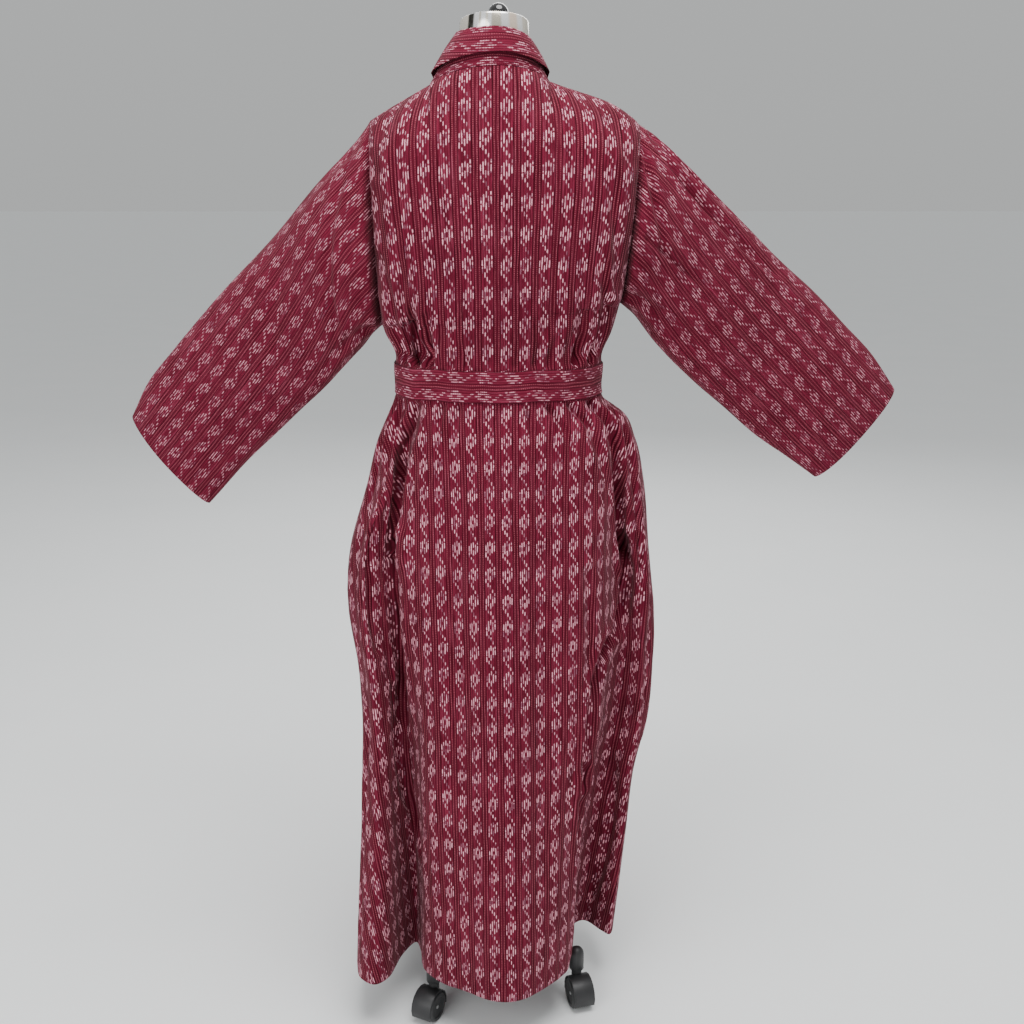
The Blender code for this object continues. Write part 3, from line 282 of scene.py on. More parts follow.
# Creases pressed into the body: degrees, height and depth in mm at the start, the middle and the
# end, half width in mm, lean of the steeper side
BODY_CREASES = (
    # above the belt, behind
    (36.7, 1.270, 2, 40.8, 1.189, 5, 39.2, 1.075, 8, 8, 0.3),
    (20.8, 1.215, 3, 33.3, 1.128, 6, 27.5, 1.072, 7, 9, -0.3),
    (48.3, 1.159, 4, 44.2, 1.116, 9, 38.3, 1.064, 12, 6.5, 0.4),
    (56.7, 1.135, 3, 55, 1.102, 8, 49.2, 1.064, 12, 5.5, 0.2),
    (64, 1.118, 1, 65, 1.092, 4, 65.5, 1.064, 6, 5, 0),
    (73, 1.100, 1, 73.5, 1.083, 4, 74, 1.064, 5, 4.5, 0.2),
    (85, 1.093, 1, 85, 1.080, 2.5, 85.5, 1.064, 4, 4.5, 0),
    (98, 1.105, 1, 98, 1.085, 3, 97, 1.064, 5, 5, -0.2),
    (108, 1.095, 1, 107.5, 1.080, 3, 107, 1.064, 4.5, 4.5, 0.1),
    (117, 1.120, 1, 116, 1.090, 4, 115, 1.064, 6, 5, 0),
    (131, 1.130, 2, 133, 1.100, 5, 134, 1.064, 7, 6, 0.3),
    (148, 1.130, 2, 150, 1.100, 5, 151, 1.064, 7, 6, -0.2),
    (140.8, 1.331, 2, 149.2, 1.255, 6, 156.7, 1.172, 5, 9, 0.3),
    (138.3, 1.225, 1, 145.8, 1.157, 5, 155, 1.085, 7, 8, 0.2),
    (128, 1.180, 1, 130, 1.140, 3, 127, 1.090, 2, 8, 0),
    (70, 1.330, 1, 66, 1.220, 2.5, 62, 1.125, 3, 14, 0.2),
    (105, 1.300, 1, 110, 1.200, 2.5, 113, 1.125, 3, 14, -0.2),
    (50, 1.430, 1, 36, 1.400, 2.5, 20, 1.335, 3, 10, 0),
    (128, 1.430, 1, 143, 1.400, 2.5, 158, 1.345, 3.5, 10, 0),
    (26, 1.330, 1.5, 24, 1.270, 3.5, 30, 1.210, 2, 9, 0.2),
    # below the belt, behind
    (38.5, 1.012, 12, 42.7, 0.913, 20, 48, 0.790, 21, 9, 0.4),
    (48, 0.800, 20, 49, 0.664, 19, 46, 0.520, 12, 10, 0.4),
    (44.2, 0.571, 6, 45, 0.429, 8, 57, 0.300, 6, 12, 0.2),
    (20.8, 1.010, 7, 30.8, 0.934, 9, 32.5, 0.851, 6, 8, -0.3),
    (32.5, 0.840, 5, 35.8, 0.760, 8, 38.3, 0.643, 5, 8, 0.2),
    (30, 0.810, 3, 30.5, 0.737, 5, 31, 0.655, 3, 6, 0),
    (11, 1.010, 5, 17, 0.940, 7, 19, 0.860, 4, 7, -0.2),
    (60, 1.012, 7, 60.5, 0.982, 4, 61.5, 0.940, 1, 5, 0.1),
    (70, 1.012, 5, 70, 0.990, 3, 70.5, 0.965, 1, 4.5, 0),
    (84, 1.012, 4, 84, 0.990, 3, 84.5, 0.960, 1, 4.5, 0),
    (102, 1.012, 7.5, 101.5, 0.985, 4.5, 101, 0.950, 1, 4.5, 0.2),
    (115, 1.012, 7.5, 116, 0.980, 5, 117.5, 0.935, 1, 5, -0.2),
    (130, 1.012, 7, 131, 0.970, 5, 133, 0.915, 2, 6, 0),
    (150, 1.012, 9, 143, 0.900, 14, 143.5, 0.770, 17, 9, -0.3),
    (143.3, 0.790, 15, 141.5, 0.700, 14, 131, 0.640, 12, 12, 0.3),
    (131, 0.650, 12, 122, 0.571, 15, 121, 0.430, 18, 12, 0.3),
    (121, 0.440, 18, 124, 0.300, 18, 126, 0.130, 13, 12, 0.2),
    (120, 0.768, 4, 119.5, 0.690, 6, 119, 0.600, 4, 8, 0),
    (160.8, 0.990, 6, 153.3, 0.871, 8, 155, 0.750, 5, 7, 0.2),
    (146.7, 0.420, 5, 150.8, 0.301, 8, 146, 0.167, 5, 9, 0.2),
    (165, 0.700, 2, 162, 0.600, 5, 164, 0.480, 3, 9, 0),
    (72, 0.760, 1, 71, 0.500, 3, 69, 0.230, 2, 16, 0.2),
    (100, 0.800, 1, 103, 0.500, 2.5, 104, 0.230, 2, 18, -0.2),
    (86, 0.620, 0.5, 87, 0.400, 2, 89, 0.180, 1.5, 15, 0),
    (24, 0.560, 3, 20, 0.400, 6, 22, 0.180, 5, 10, 0.2),
    (8, 0.700, 2, 6, 0.600, 5, 9, 0.450, 2, 9, 0),
    # the front, above the belt
    (322, 1.160, 3, 319, 1.110, 8, 316, 1.064, 10, 7, -0.3),
    (308, 1.130, 2, 307, 1.100, 6, 305, 1.064, 9, 6, 0.2),
    (226, 1.170, 3, 224, 1.120, 8, 222, 1.064, 10, 7, 0.3),
    (238, 1.130, 2, 239, 1.100, 6, 240, 1.064, 8, 6, -0.2),
    (340, 1.260, 3, 335, 1.180, 6, 334, 1.080, 6, 9, 0.2),
    (205, 1.270, 3, 209, 1.190, 6, 208, 1.080, 6, 9, -0.2),
    (198, 1.350, 2, 195, 1.260, 4, 199, 1.180, 3, 9, 0),
    (344, 1.340, 2, 347, 1.260, 4, 343, 1.170, 3, 9, 0),
    (300, 1.340, 1, 304, 1.240, 3, 300, 1.140, 2, 13, 0),
    (241, 1.330, 1, 238, 1.240, 3, 241, 1.150, 2, 13, 0),
    # the front, below the belt
    (318, 1.012, 9, 314, 0.910, 12, 311, 0.780, 12, 9, -0.3),
    (222, 1.012, 9, 226, 0.900, 12, 230, 0.770, 11, 9, 0.3),
    (338, 1.000, 7, 334, 0.900, 9, 331, 0.790, 6, 8, 0.2),
    (203, 1.000, 7, 207, 0.900, 9, 209, 0.800, 6, 8, -0.2),
    (250, 1.012, 6, 250, 0.980, 4, 251, 0.930, 1, 5, 0),
    (292, 1.012, 6, 293, 0.980, 4, 294, 0.930, 1, 5, 0),
    (237, 0.720, 3, 239, 0.520, 6, 241, 0.300, 3, 11, 0.2),
    (303, 0.690, 3, 300, 0.500, 6, 297, 0.290, 3, 11, -0.2),
    (326, 0.680, 3, 328, 0.500, 6, 330, 0.300, 4, 10, 0),
    (216, 0.660, 3, 213, 0.480, 6, 216, 0.280, 4, 10, 0),
)
# Creases of the sleeves: share of the length, degrees round from the top over the back, depth in mm
# at the start, the middle and the end, half width in mm, lean of the steeper side
SLEEVE_CREASES = {
    "left": (
        (0.13, 48, 2, 0.21, 88, 4.5, 0.27, 130, 4, 10, 0.2),
        (0.34, 58, 1, 0.45, 80, 2.5, 0.55, 112, 1.5, 14, 0),
        (0.10, 160, 4, 0.25, 150, 5, 0.42, 148, 2, 9, 0.2),
        (0.60, 40, 1, 0.70, 70, 2.5, 0.80, 92, 1, 14, 0),
        (0.07, 30, 2, 0.16, 22, 3, 0.28, 24, 1, 9, 0),
        (0.62, 140, 1, 0.74, 128, 2, 0.86, 130, 1, 12, 0),
        (0.07, 322, 3, 0.24, 302, 6, 0.40, 310, 2, 9, -0.2),
        (0.08, 252, 4, 0.20, 241, 5, 0.33, 236, 2, 8, 0.2),
        (0.10, 214, 4, 0.27, 212, 5, 0.45, 215, 2, 10, 0),
        (0.50, 292, 1, 0.64, 280, 2.5, 0.80, 286, 1, 13, 0),
    ),
    "right": (
        (0.07, 27, 3, 0.28, 46, 8, 0.51, 39, 3, 8, 0.4),
        (0.10, 99, 4, 0.25, 99, 7, 0.37, 92, 2, 5.5, 0.3),
        (0.03, 46, 4, 0.10, 73, 6, 0.19, 99, 3, 8, 0.2),
        (0.06, 12, 3, 0.19, 20, 6, 0.36, 16, 2, 7, -0.3),
        (0.05, 150, 4, 0.20, 146, 6, 0.42, 137, 2, 10, 0.2),
        (0.55, 100, 1, 0.68, 96, 2.5, 0.82, 101, 1, 13, 0),
        (0.45, 60, 1, 0.60, 52, 2.5, 0.75, 58, 1, 11, 0),
        (0.06, 318, 3, 0.22, 305, 6, 0.38, 312, 2, 9, 0.2),
        (0.09, 256, 4, 0.21, 246, 5.5, 0.36, 238, 2, 8, -0.2),
        (0.09, 210, 4, 0.26, 214, 5, 0.44, 213, 2, 10, 0),
        (0.52, 284, 1, 0.66, 290, 2.5, 0.78, 282, 1, 13, 0),
    ),
}
# The ridges beside a crease: height to its depth, place and width in its half widths
CREASE_RIDGE = 0.28
RIDGE_PLACE = 1.9
RIDGE_WIDTH = 0.8
# A crease is followed in so many steps, as far off as so many half widths, and its depth varies by
# this share, with this turn along it and from crease to crease
CREASE_STEPS = 12
CREASE_REACH = 5.0
CREASE_SWAY = (0.16, 17.0, 2.4)
# The cloth sinks in beside each armhole: share of the way down, depth in mm behind, in front
ARMHOLE_VALLEY = (
    (0.00, 0.0, 0.0),
    (0.12, 2.0, 1.0),
    (0.26, 10.0, 6.0),
    (0.45, 20.0, 11.0),
    (0.70, 26.0, 14.0),
    (0.87, 19.0, 10.0),
    (0.96, 6.0, 4.0),
    (1.00, 0.0, 0.0),
)
VALLEY_WIDTH = dict(body=0.019, sleeve=0.017)
# Slow unevenness of the cloth: radians to a metre along x, y, z, start, height in mm
UNEVEN = (
    (31.0, 17.0, 5.0, 0.4, 0.55),
    (-22.0, 28.0, 9.0, 2.3, 0.50),
    (12.0, -35.0, 21.0, 4.1, 0.40),
    (44.0, 9.0, -14.0, 1.2, 0.35),
    (-8.0, -13.0, 41.0, 5.2, 0.22),
    (63.0, -41.0, 11.0, 3.0, 0.20),
)
# Metres over which the creases fade in from an edge and from the belt
EDGE_CALM = 0.012
BELT_CALM = 0.003
# The weave takes up this share of the cloth that the creases use, evened out over so many rows
CREASE_SHARE = 0.5
CALM_ROWS = 28
# Room kept between the creases and the form: least distance, least move that is checked, lowest height
FORM_ROOM = 0.0024
FORM_LEAST = 0.0004
FORM_BOTTOM = 0.66

# The belt's face, from and to as a share of its width, and its rows, edge and bulge
BELT_FACE = (0.02, 0.98, 22)
BELT_EDGE = 0.001
BELT_BULGE = 0.0010
# Slow waves of the belt, up and down: number round the waist, height, start
BELT_WAVES = (
    (7, 0.00066, 0.6),
    (13, 0.00042, 2.1),
    (29, 0.00024, 4.0),
)
# Where the middle of the belt's strip lies across the weave
BELT_WEAVE = 0.0217
# The tails, as in the solids: side, x at the knot, x at the end, length
TAILS = (
    ("left", 0.0225, 0.050, 0.44),
    ("right", -0.0225, -0.046, 0.39),
)
# A tail's width, its gap to the front, how far below the belt it starts, how far it stands out and over
# what share of its length, and how far beside it the front is looked at
TAIL_WIDTH = 0.042
TAIL_GAP = 0.0028
TAIL_DROP = 0.0045
TAIL_EASE = 0.0015
TAIL_EASED = 0.15
TAIL_MARGIN = 0.004
TAIL_ROWS = 96
TAIL_COLUMNS = 15
# How a tail wavers to the side and cups along its middle: size, radians down its length. Its wavering
# starts at so many radians for each metre that it hangs aside
TAIL_BEND = (0.0022, 9.0)
TAIL_START = 90.0
TAIL_CUP = (0.0020, 7.0)
# Columns of the front that a tail may lie on: from and to in degrees, number
FRONT_COLUMNS = (200.0, 340.0, 281)
# The knot: size, gap behind it, rows, columns and metres of weave to its half width
KNOT = dict(width=0.052, height=0.050, depth=0.020, gap=0.0003, rows=60, columns=72, weave=0.026)
KNOT_POWERS = dict(ends=0.55, around=0.75, up=0.7)
# The turns of the tie across the knot, by their lean in x and z, the grooves between them: place, width,
# depth, and a crease: its lean, then width, depth
KNOT_TURN = (0.75, 0.65)
KNOT_GROOVE = (0.42, 0.10, 0.16)
KNOT_CREASE_TURN = (-0.5, 0.8)
KNOT_CREASE = (0.12, 0.028)

# The collar's stand: rows, how its foot is lifted along it and upwards and how fast that fades, how far
# it ends below the fold and is set in, and where it starts across the weave
STAND = dict(rows=18, lift_along=0.0004, lift_up=0.0008, fade=4, below_fold=0.0010, set_in=0.0002,
             weave=0.0045)
# The collar's fall: its two ends in degrees from the front's edges, its points, its rows inside the
# stand by their depth, its roll and its outer face, and where it starts across the weave
FALL = dict(start=15.0, points=25.0, inside=(0.010, 0.0075, 0.005, 0.0025), inside_gap=0.0002,
            inside_weave=0.003, roll_rows=9, roll_weave=0.0015, rows=22, swell=0.0012, weave=0.0081)
# Degrees over which the lower front's inset fades: at the neckline, and from and to along the collar
LAP_EASE = 10.0
LAP_FADE = (20.0, 30.0)
# Rows or columns of cloth turned under at the end and the sides of each kind of piece
TURNED = dict(panel_sides=3, stand=(4, 5), fall=(10, 5), tail=(8, 6), cuff=7)

# The weave's pale floats: thread column of the motif, then from and to in rows of the repeat
REPEAT_COLUMNS = 8.0
REPEAT_ROWS = 16.0
FLOATS = (
    (0, ((3.0, 6.5), (7.0, 10.0))),
    (1, ((1.5, 7.7), (9.8, 11.9))),
    (2, ((0.5, 3.5), (6.0, 9.4), (11.6, 13.7))),
    (3, ((2.0, 8.0), (13.7, 15.5))),
    (4, ((0.25, 2.0), (3.0, 6.5))),
)
# Thin lines between the flowers, in thread columns
PINSTRIPES = (5.80, 7.24)
DARK_LINES = (5.22, 6.52, 7.78)
# How floats, pinstripes, dark lines and the grooves of the ribs, which carry painted shade and relief, fade
# off their middles: slope, level
FLOAT_FADE = (-5.6, 1.62)
PINSTRIPE_FADE = (-4.0, 1.20)
DARK_FADE = (-3.4, 1.25)
GROOVE_FADE = (3.4, -0.8)
FLOAT_END = 0.022
# Streaks and flecks along the cloth: waves to a metre across and along, slope, level
DARK_STREAKS = (430.0, 16.0, 3.2, -1.1)
BRIGHT_STREAKS = (510.0, 13.0, 4.5, -2.35)
FADING = (60.0, 14.0, 1.4, 0.12)
FLECKS = (700.0, 160.0)
# How the threads wander across: waves to a metre across and along, metres. Then how far repeats and
# threads slip along, in repeats
WANDER = (150.0, 26.0, 0.0024)
REPEAT_SLIP = 0.12
SLIP_SEED = 3.0
THREAD_SLIP = 0.050
# Cells to a repeat in which a thread slips, changes its paleness and changes its tone
SLIP_CELLS = 3.0
YARN_CELLS = 6.5
TONE_CELLS = 1.4
# Metres to a dot of the pinstripes and to a weft thread
DOT = 0.0028
WEFT = 0.0009
# Share of the deep tone or the light tone in streaks, grooves and threads; the deep tone in the grooves is
# painted shade
STREAK_SHARE = 0.85
BRIGHT_SHARE = 0.75
GROOVE_SHADE_SHARE = 0.70
TONE_SHARE = 0.30
# Clouds of deeper tone: number to a metre, detail, slope, level
CLOUDS = (7.0, 3.0, 1.1, -0.45)
# Slope and level of the pinstripes' flecks and dots, of the floats' yarn and of their flecks
STRIPE_FLECKS = (1.6, -0.10)
STRIPE_DOTS = (0.55, 0.50)
YARN = (1.9, -0.22)
FLOAT_FLECKS = (1.2, 0.36)
# Relief of the weave: pinstripes, streaks and weft threads beside floats of one, then its height
RELIEF = dict(stripes=0.6, streaks=0.8, weft=0.12, height=0.0004, strength=0.7)
MAROON = (0.205, 0.0160, 0.042)
MAROON_DEEP = (0.068, 0.0030, 0.0105)
MAROON_LIGHT = (0.370, 0.0700, 0.120)
WINE = (0.030, 0.0006, 0.0045)
PALE = (1.0, 0.46, 0.56)
PALE_GREY = (0.25, 0.090, 0.135)
ROSE = (0.42, 0.110, 0.140)
# The weave as seen flat and as seen on the sleeves, collar and belt: contrast, floats, gaps in them
WEAVES = dict(robe_weave=(1.0, 1.0, 0.0), robe_weave_soft=(0.74, 0.85, 0.6))

# Painted reflections in bands round the neck cap's plating, from the left side over the back: degrees, tone
PAINTED_REFLECTION_BANDS = (
    (0.0, "beige"), (39.0, "beige"),
    (43.0, "dark"), (52.0, "dark"),
    (55.5, "bright"), (62.0, "bright"),
    (64.0, "dull"), (65.5, "dull"),
    (67.5, "bright"), (74.5, "bright"),
    (76.5, "beige"), (79.0, "beige"),
    (81.5, "bright"), (85.0, "bright"),
    (88.5, "dull"), (101.5, "dull"),
    (105.0, "bright"), (114.0, "bright"),
    (118.0, "peach"), (129.5, "peach"),
    (134.5, "bright"), (142.0, "bright"),
    (146.0, "beige"), (168.0, "dull"), (180.0, "beige"),
)
# Tones of the painted reflections on the neck cap
PAINTED_REFLECTION_TONES = dict(beige=(0.86, 0.80, 0.70), dark=(0.035, 0.033, 0.028), bright=(1.0, 1.0, 1.0),
                     dull=(0.66, 0.61, 0.51), peach=(1.0, 0.83, 0.68))
# Two tones of each other surface
PLASTIC_TONES = (0.013, 0.013, 0.014), (0.026, 0.026, 0.027)
SCUFF_TONE = (0.070, 0.070, 0.072)
SCUFF_SHARE = 0.5
GLOSS_TONES = (0.006, 0.006, 0.007), (0.014, 0.014, 0.015)
STEEL_TONES = (0.36, 0.36, 0.37), (0.62, 0.62, 0.62)
COVER_TONES = (0.52, 0.48, 0.41), (0.66, 0.62, 0.54)
FLOOR_TONES = (0.85, 0.87, 0.87), (0.89, 0.90, 0.90)
# Relief of the plastic's scuffs and the cover's ribs beside their grain, and how closely the ribs lie
SCUFF_RELIEF = 0.3
RIB_RELIEF = 0.1
RIBS = 400.0

# Hard pieces: node, body, slot, width of the rounded edges. In a caster's names # stands for its number
FORM_PIECES = (
    ("neck_cap", "dressed_form", "chrome", 0.0012),
    ("neck_knob", "dressed_form", "black_gloss", 0.0),
    ("torso", "dressed_form", "form_cover", 0.0),
    ("pole", "dressed_form", "black_plastic", 0.0006),
    ("star_base", "dressed_form", "black_plastic", 0.0006),
)
CASTER_PIECES = (
    ("caster_#_fork", "caster_#", "black_plastic", 0.0005),
    ("caster_#_axle", "caster_#", "steel", 0.0003),
    ("caster_#_wheel_a", "wheel_#_a", "black_plastic", 0.0005),
    ("caster_#_wheel_b", "wheel_#_b", "black_plastic", 0.0005),
)
# Points nearer than this and faces flatter than this are joined, and edges sharper than this rounded
WELD = 0.00002
FLAT_ANGLE = math.radians(0.6)
SHARP_ANGLE = math.radians(38.0)

# Room: the floor's half width, the sky's colours low and high, its strength, and the lamps: name, place,
# size, power
FLOOR_REACH = 60.0
SKY_LOW = (0.98, 1.00, 1.00, 1.0)
SKY_HIGH = (1.28, 1.30, 1.31, 1.0)
SKY_STRENGTH = 0.50
LAMPS = (
    ("key", (-0.25, 0.75, 3.5), 2.0, 94.0),
    ("fill", (1.9, 2.7, 1.9), 2.6, 52.0),
    ("front", (-0.5, -3.0, 2.8), 2.4, 56.0),
)
LAMPS_AIM = (0.0, 0.0, 0.85)

# Camera: its place, how far it looks down, and its lens, worked out in pixels of a 1024 wide picture
EYE = (0.0, 1.82, 1.315)
TILT = math.radians(15.0)
SENSOR = 36.0
PICTURE_WIDTH = 1024.0
LENS_IN_PIXELS = 1224.0
PIXELS_ASIDE = -12.0
PAN = math.atan(PIXELS_ASIDE / LENS_IN_PIXELS)
LENS = SENSOR * LENS_IN_PIXELS / PICTURE_WIDTH


def smooth_step(low, high, value):
    """0 at low, 1 at high, level at both ends."""
    share = np.clip((value - low) / (high - low), 0.0, 1.0)
    return share * share * (3.0 - 2.0 * share)


def curve(table):
    """Smooth curves through a table's rows: gives all other columns at values of the first."""
    rows = np.array(table, dtype=float)
    rows = rows[np.argsort(rows[:, 0])]
    keys, values = rows[:, 0], rows[:, 1:]
    slopes = np.gradient(values, keys, axis=0)

    def read(key):
        """The other columns at values of the first, held at its ends."""
        key = np.clip(np.asarray(key, dtype=float), keys[0], keys[-1])
        row = np.clip(np.searchsorted(keys, key) - 1, 0, len(keys) - 2)
        span = (keys[row + 1] - keys[row])[..., None]
        share = (key - keys[row])[..., None] / span
        left = 1.0 - share
        here = (1.0 + 2.0 * share) * left ** 2 * values[row] + share * left ** 2 * span * slopes[row]
        there = share * share * (3.0 - 2.0 * share) * values[row + 1]
        return here + there - share * share * left * span * slopes[row + 1]

    return read


SIDES_AT = curve(SIDES)
DEPTHS_AT = curve(DEPTHS)
SQUARENESS_AT = curve(SQUARENESS)
HEM_AT = curve(HEM_PLAN)
EASE_AT = curve(EASE)
VALLEY_AT = curve(ARMHOLE_VALLEY)


def unit(vectors):
    """Vectors of length one."""
    return vectors / np.maximum(np.linalg.norm(vectors, axis=-1, keepdims=True), TINY)


def cosine(degrees):
    """Cosine of an angle in degrees."""
    return np.cos(np.radians(degrees))


def sine(degrees):
    """Sine of an angle in degrees."""
    return np.sin(np.radians(degrees))


def running(steps, axis=0):
    """Sum of the steps that come before each point along an axis."""
    none = np.zeros_like(np.take(steps, (0,), axis=axis))
    return np.concatenate((none, np.cumsum(steps, axis=axis)), axis=axis)


def hump(value, place, width):
    """1 at a place, fading to both sides."""
    return np.exp(-((value - place) / width) ** 2)


def columns_in(degrees):
    """Number of the body's columns in an angle."""
    return int(round(degrees * COLUMNS_PER_DEGREE))


def side_sign(degrees):
    """1 on the left side of the body, -1 on its right side."""
    return np.where(cosine(degrees) > 0.0, 1.0, -1.0)


def between_sides(left, right, share):
    """A value that runs from the right side, share -1, to the left side, share 1."""
    return 0.5 * (left + right) + 0.5 * (left - right) * share


def outline(degrees, z):
    """Points of the body's smooth outline, before folds."""
    half = SIDES_AT(z)
    depth = DEPTHS_AT(z)
    power = 2.0 / SQUARENESS_AT(z)[..., 0]
    x = np.where(cosine(degrees) > 0.0, half[..., 0], -half[..., 1]) * np.abs(cosine(degrees)) ** power
    y = np.where(sine(degrees) > 0.0, depth[..., 0], -depth[..., 1]) * np.abs(sine(degrees)) ** power
    return np.stack((x, y, z + 0.0 * x), axis=-1)


def fold_shape(degrees, centre, width):
    """1 in the middle of a fold, 0 at its half width and beyond."""
    share = np.minimum(np.abs(degrees - centre) / width, 1.0)
    return np.cos(0.5 * math.pi * share) ** 2


def fold_push(degrees, z):
    """How far the big folds and the gathers push points in."""
    push = np.zeros(np.broadcast(degrees, z).shape + (3,))
    for centre, width, start, deepest, depth, pull_x, pull_y in SKIRT_FOLDS:
        size = depth * smooth_step(start, deepest, z) * (1.0 - smooth_step(deepest, HEM, z)) * (z < start)
        size = size * fold_shape(degrees, centre, width)
        push += size[..., None] * np.array([pull_x, pull_y, 0.0])
    degrees = degrees + 0.0 * z
    inward = -np.stack((cosine(degrees), sine(degrees), 0.0 * degrees), axis=-1)
    above = z - BAND_TOP
    for centre, width, end, depth in WAIST_FOLDS:
        size = depth * smooth_step(0.0, FOLD_RISE, above) * (1.0 - smooth_step(BELT_TOP + FOLD_RISE, end, z))
        push += (size * fold_shape(degrees, centre, width))[..., None] * inward
    distance = np.maximum(np.maximum(above, BAND_BOTTOM - z), 0.0)
    size = GATHER_DEPTH * (1.0 - np.exp(-distance / GATHER_RISE)) * np.exp(-distance / GATHER_FADE)
    wave = 0.5 - 0.5 * cosine(degrees * GATHERS)
    return push + (size * wave)[..., None] * inward


def body_points(degrees, z):
    """Points of the cloth's outer face below the armholes."""
    points = outline(degrees, z) + fold_push(degrees, z)
    opened = np.clip((BAND_BOTTOM - z) / (BAND_BOTTOM - HEM), 0.0, None) ** HEM_GROWTH
    grown = HEM_AT(degrees) - outline(degrees, np.full_like(degrees, HEM))[..., :2]
    points[..., :2] += grown * opened[..., None]
    return points


def column_width(degrees):
    """Share of the half width at which a column stands, as on the body's outline."""
    return np.abs(cosine(degrees)) ** CHEST_POWER


def side_value(degrees, key):
    """A size of the shoulder on the side where each column is."""
    return np.where(side_sign(degrees) > 0.0, SHOULDERS["left"][key], SHOULDERS["right"][key])


def ridge_height(x, degrees):
    """Height of the shoulder line, carried on in a straight line to its peak over the neck."""
    x = np.abs(x)
    neck_x, neck_z = side_value(degrees, "neck_x"), side_value(degrees, "neck_z")
    out = np.clip((x - neck_x) / (side_value(degrees, "tip_x") - neck_x), 0.0, 1.0)
    bulge = side_value(degrees, "bulge") * np.sin(math.pi * out ** BULGE_POWER)
    outer = neck_z + (side_value(degrees, "tip_z") - neck_z) * out + bulge
    inner = RIDGE_PEAK + (neck_z - RIDGE_PEAK) * x / neck_x
    return np.where(x < neck_x, inner, outer)


def top_edge(degrees, behind):
    """Points of the shoulder seam and of the neckline at the top of the columns."""
    centre = NAPE if behind else THROAT
    share = column_width(degrees)
    neck_share = column_width(NECK_ANGLE)
    neck_x, neck_z = side_value(degrees, "neck_x"), side_value(degrees, "neck_z")
    x = neck_x + (side_value(degrees, "tip_x") - neck_x) * (share - neck_share) / (1.0 - neck_share)
    within = np.minimum(share / neck_share, 1.0)
    round_part = np.maximum(1.0 - within * within, 0.0)
    y = centre["y"] * np.sqrt(round_part) * (1.0 if behind else -1.0)
    z = neck_z + (centre["z"] - neck_z) * round_part ** NECK_CURVE
    on_seam = share >= neck_share - NEAR
    return np.stack((side_sign(degrees) * np.where(on_seam, x, neck_x * within),
                     np.where(on_seam, 0.0, y), np.where(on_seam, ridge_height(x, degrees), z)), axis=-1)


def underarm_height(degrees):
    """Height of the row that meets the underarm points."""
    share = column_width(degrees) * np.sign(cosine(degrees))
    return between_sides(SHOULDERS["left"]["under_z"], SHOULDERS["right"]["under_z"], share)


def chest_depth(degrees, phase, points, behind):
    """How far the chest stands out: an arch off the shoulder line, then the body's depth."""
    centre = NAPE if behind else THROAT
    under = underarm_height(np.array(90.0))
    depth = DEPTHS_AT(points[..., 2])[..., 0 if behind else 1]
    ridge = ridge_height(points[..., 0], degrees)
    drop = np.minimum(np.maximum(ridge - points[..., 2], 0.0) / (ridge - under) / SHOULDER_ARCH, 1.0)
    edge = centre["armhole"] * np.sin(phase)
    share = np.abs(sine(degrees)) ** CHEST_POWER
    return edge + (depth * np.sqrt(drop * (2.0 - drop)) - edge) * share


def chest_points(degrees, phase, behind):
    """Points of the cloth between the shoulder line, phase 0, and the underarm row, phase pi."""
    down = 0.5 - 0.5 * np.cos(phase)
    top = top_edge(degrees, behind)
    bottom = outline(degrees, underarm_height(degrees))
    points = top + (bottom - top) * down[..., None]
    y = chest_depth(degrees, phase, points, behind)
    y += (np.abs(top[..., 1]) - chest_depth(degrees, 0.0 * phase, top, behind)) * (1.0 - down) ** SEAM_FADE
    points[..., 1] = y if behind else -y
    pushed = (down > 0.0) & (points[..., 2] > BAND_TOP)
    return points + fold_push(degrees, points[..., 2]) * pushed[..., None]


def body_grid(behind):
    """One half of the body: its outer face, row by row from the shoulders to the hem."""
    degrees = np.linspace(0.0, 180.0, HALF_COLUMNS + 1) + (0.0 if behind else 180.0)
    nudged = degrees.copy()
    nudged[0] += NUDGE
    nudged[-1] -= NUDGE
    wide, phase = np.meshgrid(nudged, np.linspace(0.0, math.pi, CHEST_ROWS))
    chest = chest_points(wide, phase, behind)
    start = underarm_height(degrees)
    shares = np.linspace(0.0, 1.0, WAIST_ROWS + 1)[1:, None]
    waist_z = start + (BAND_TOP - start) * shares
    levels = np.concatenate((np.linspace(BAND_TOP, BAND_BOTTOM, BELT_ROWS + 1)[1:],
                             np.linspace(BAND_BOTTOM, HEM, SKIRT_ROWS + 1)[1:]))
    z = np.concatenate((waist_z, levels[:, None] + 0.0 * degrees))
    below = body_points(degrees + 0.0 * z, z)
    return degrees, np.concatenate((chest, below))


def grid_normals(grid, before, after, above):
    """Outward normals of a grid, from the points beside it where a neighbour continues it."""
    rows, columns, _ = grid.shape
    wide = np.zeros((rows + 2, columns + 2, 3))
    wide[1:-1, 1:-1] = grid
    wide[1:-1, 0] = before
    wide[1:-1, -1] = after
    wide[0, 1:-1] = above
    wide[-1, 1:-1] = 2.0 * grid[-1] - grid[-2]
    along = wide[1:-1, 2:] - wide[1:-1, :-2]
    down = wide[2:, 1:-1] - wide[:-2, 1:-1]
    return unit(np.cross(down, along))


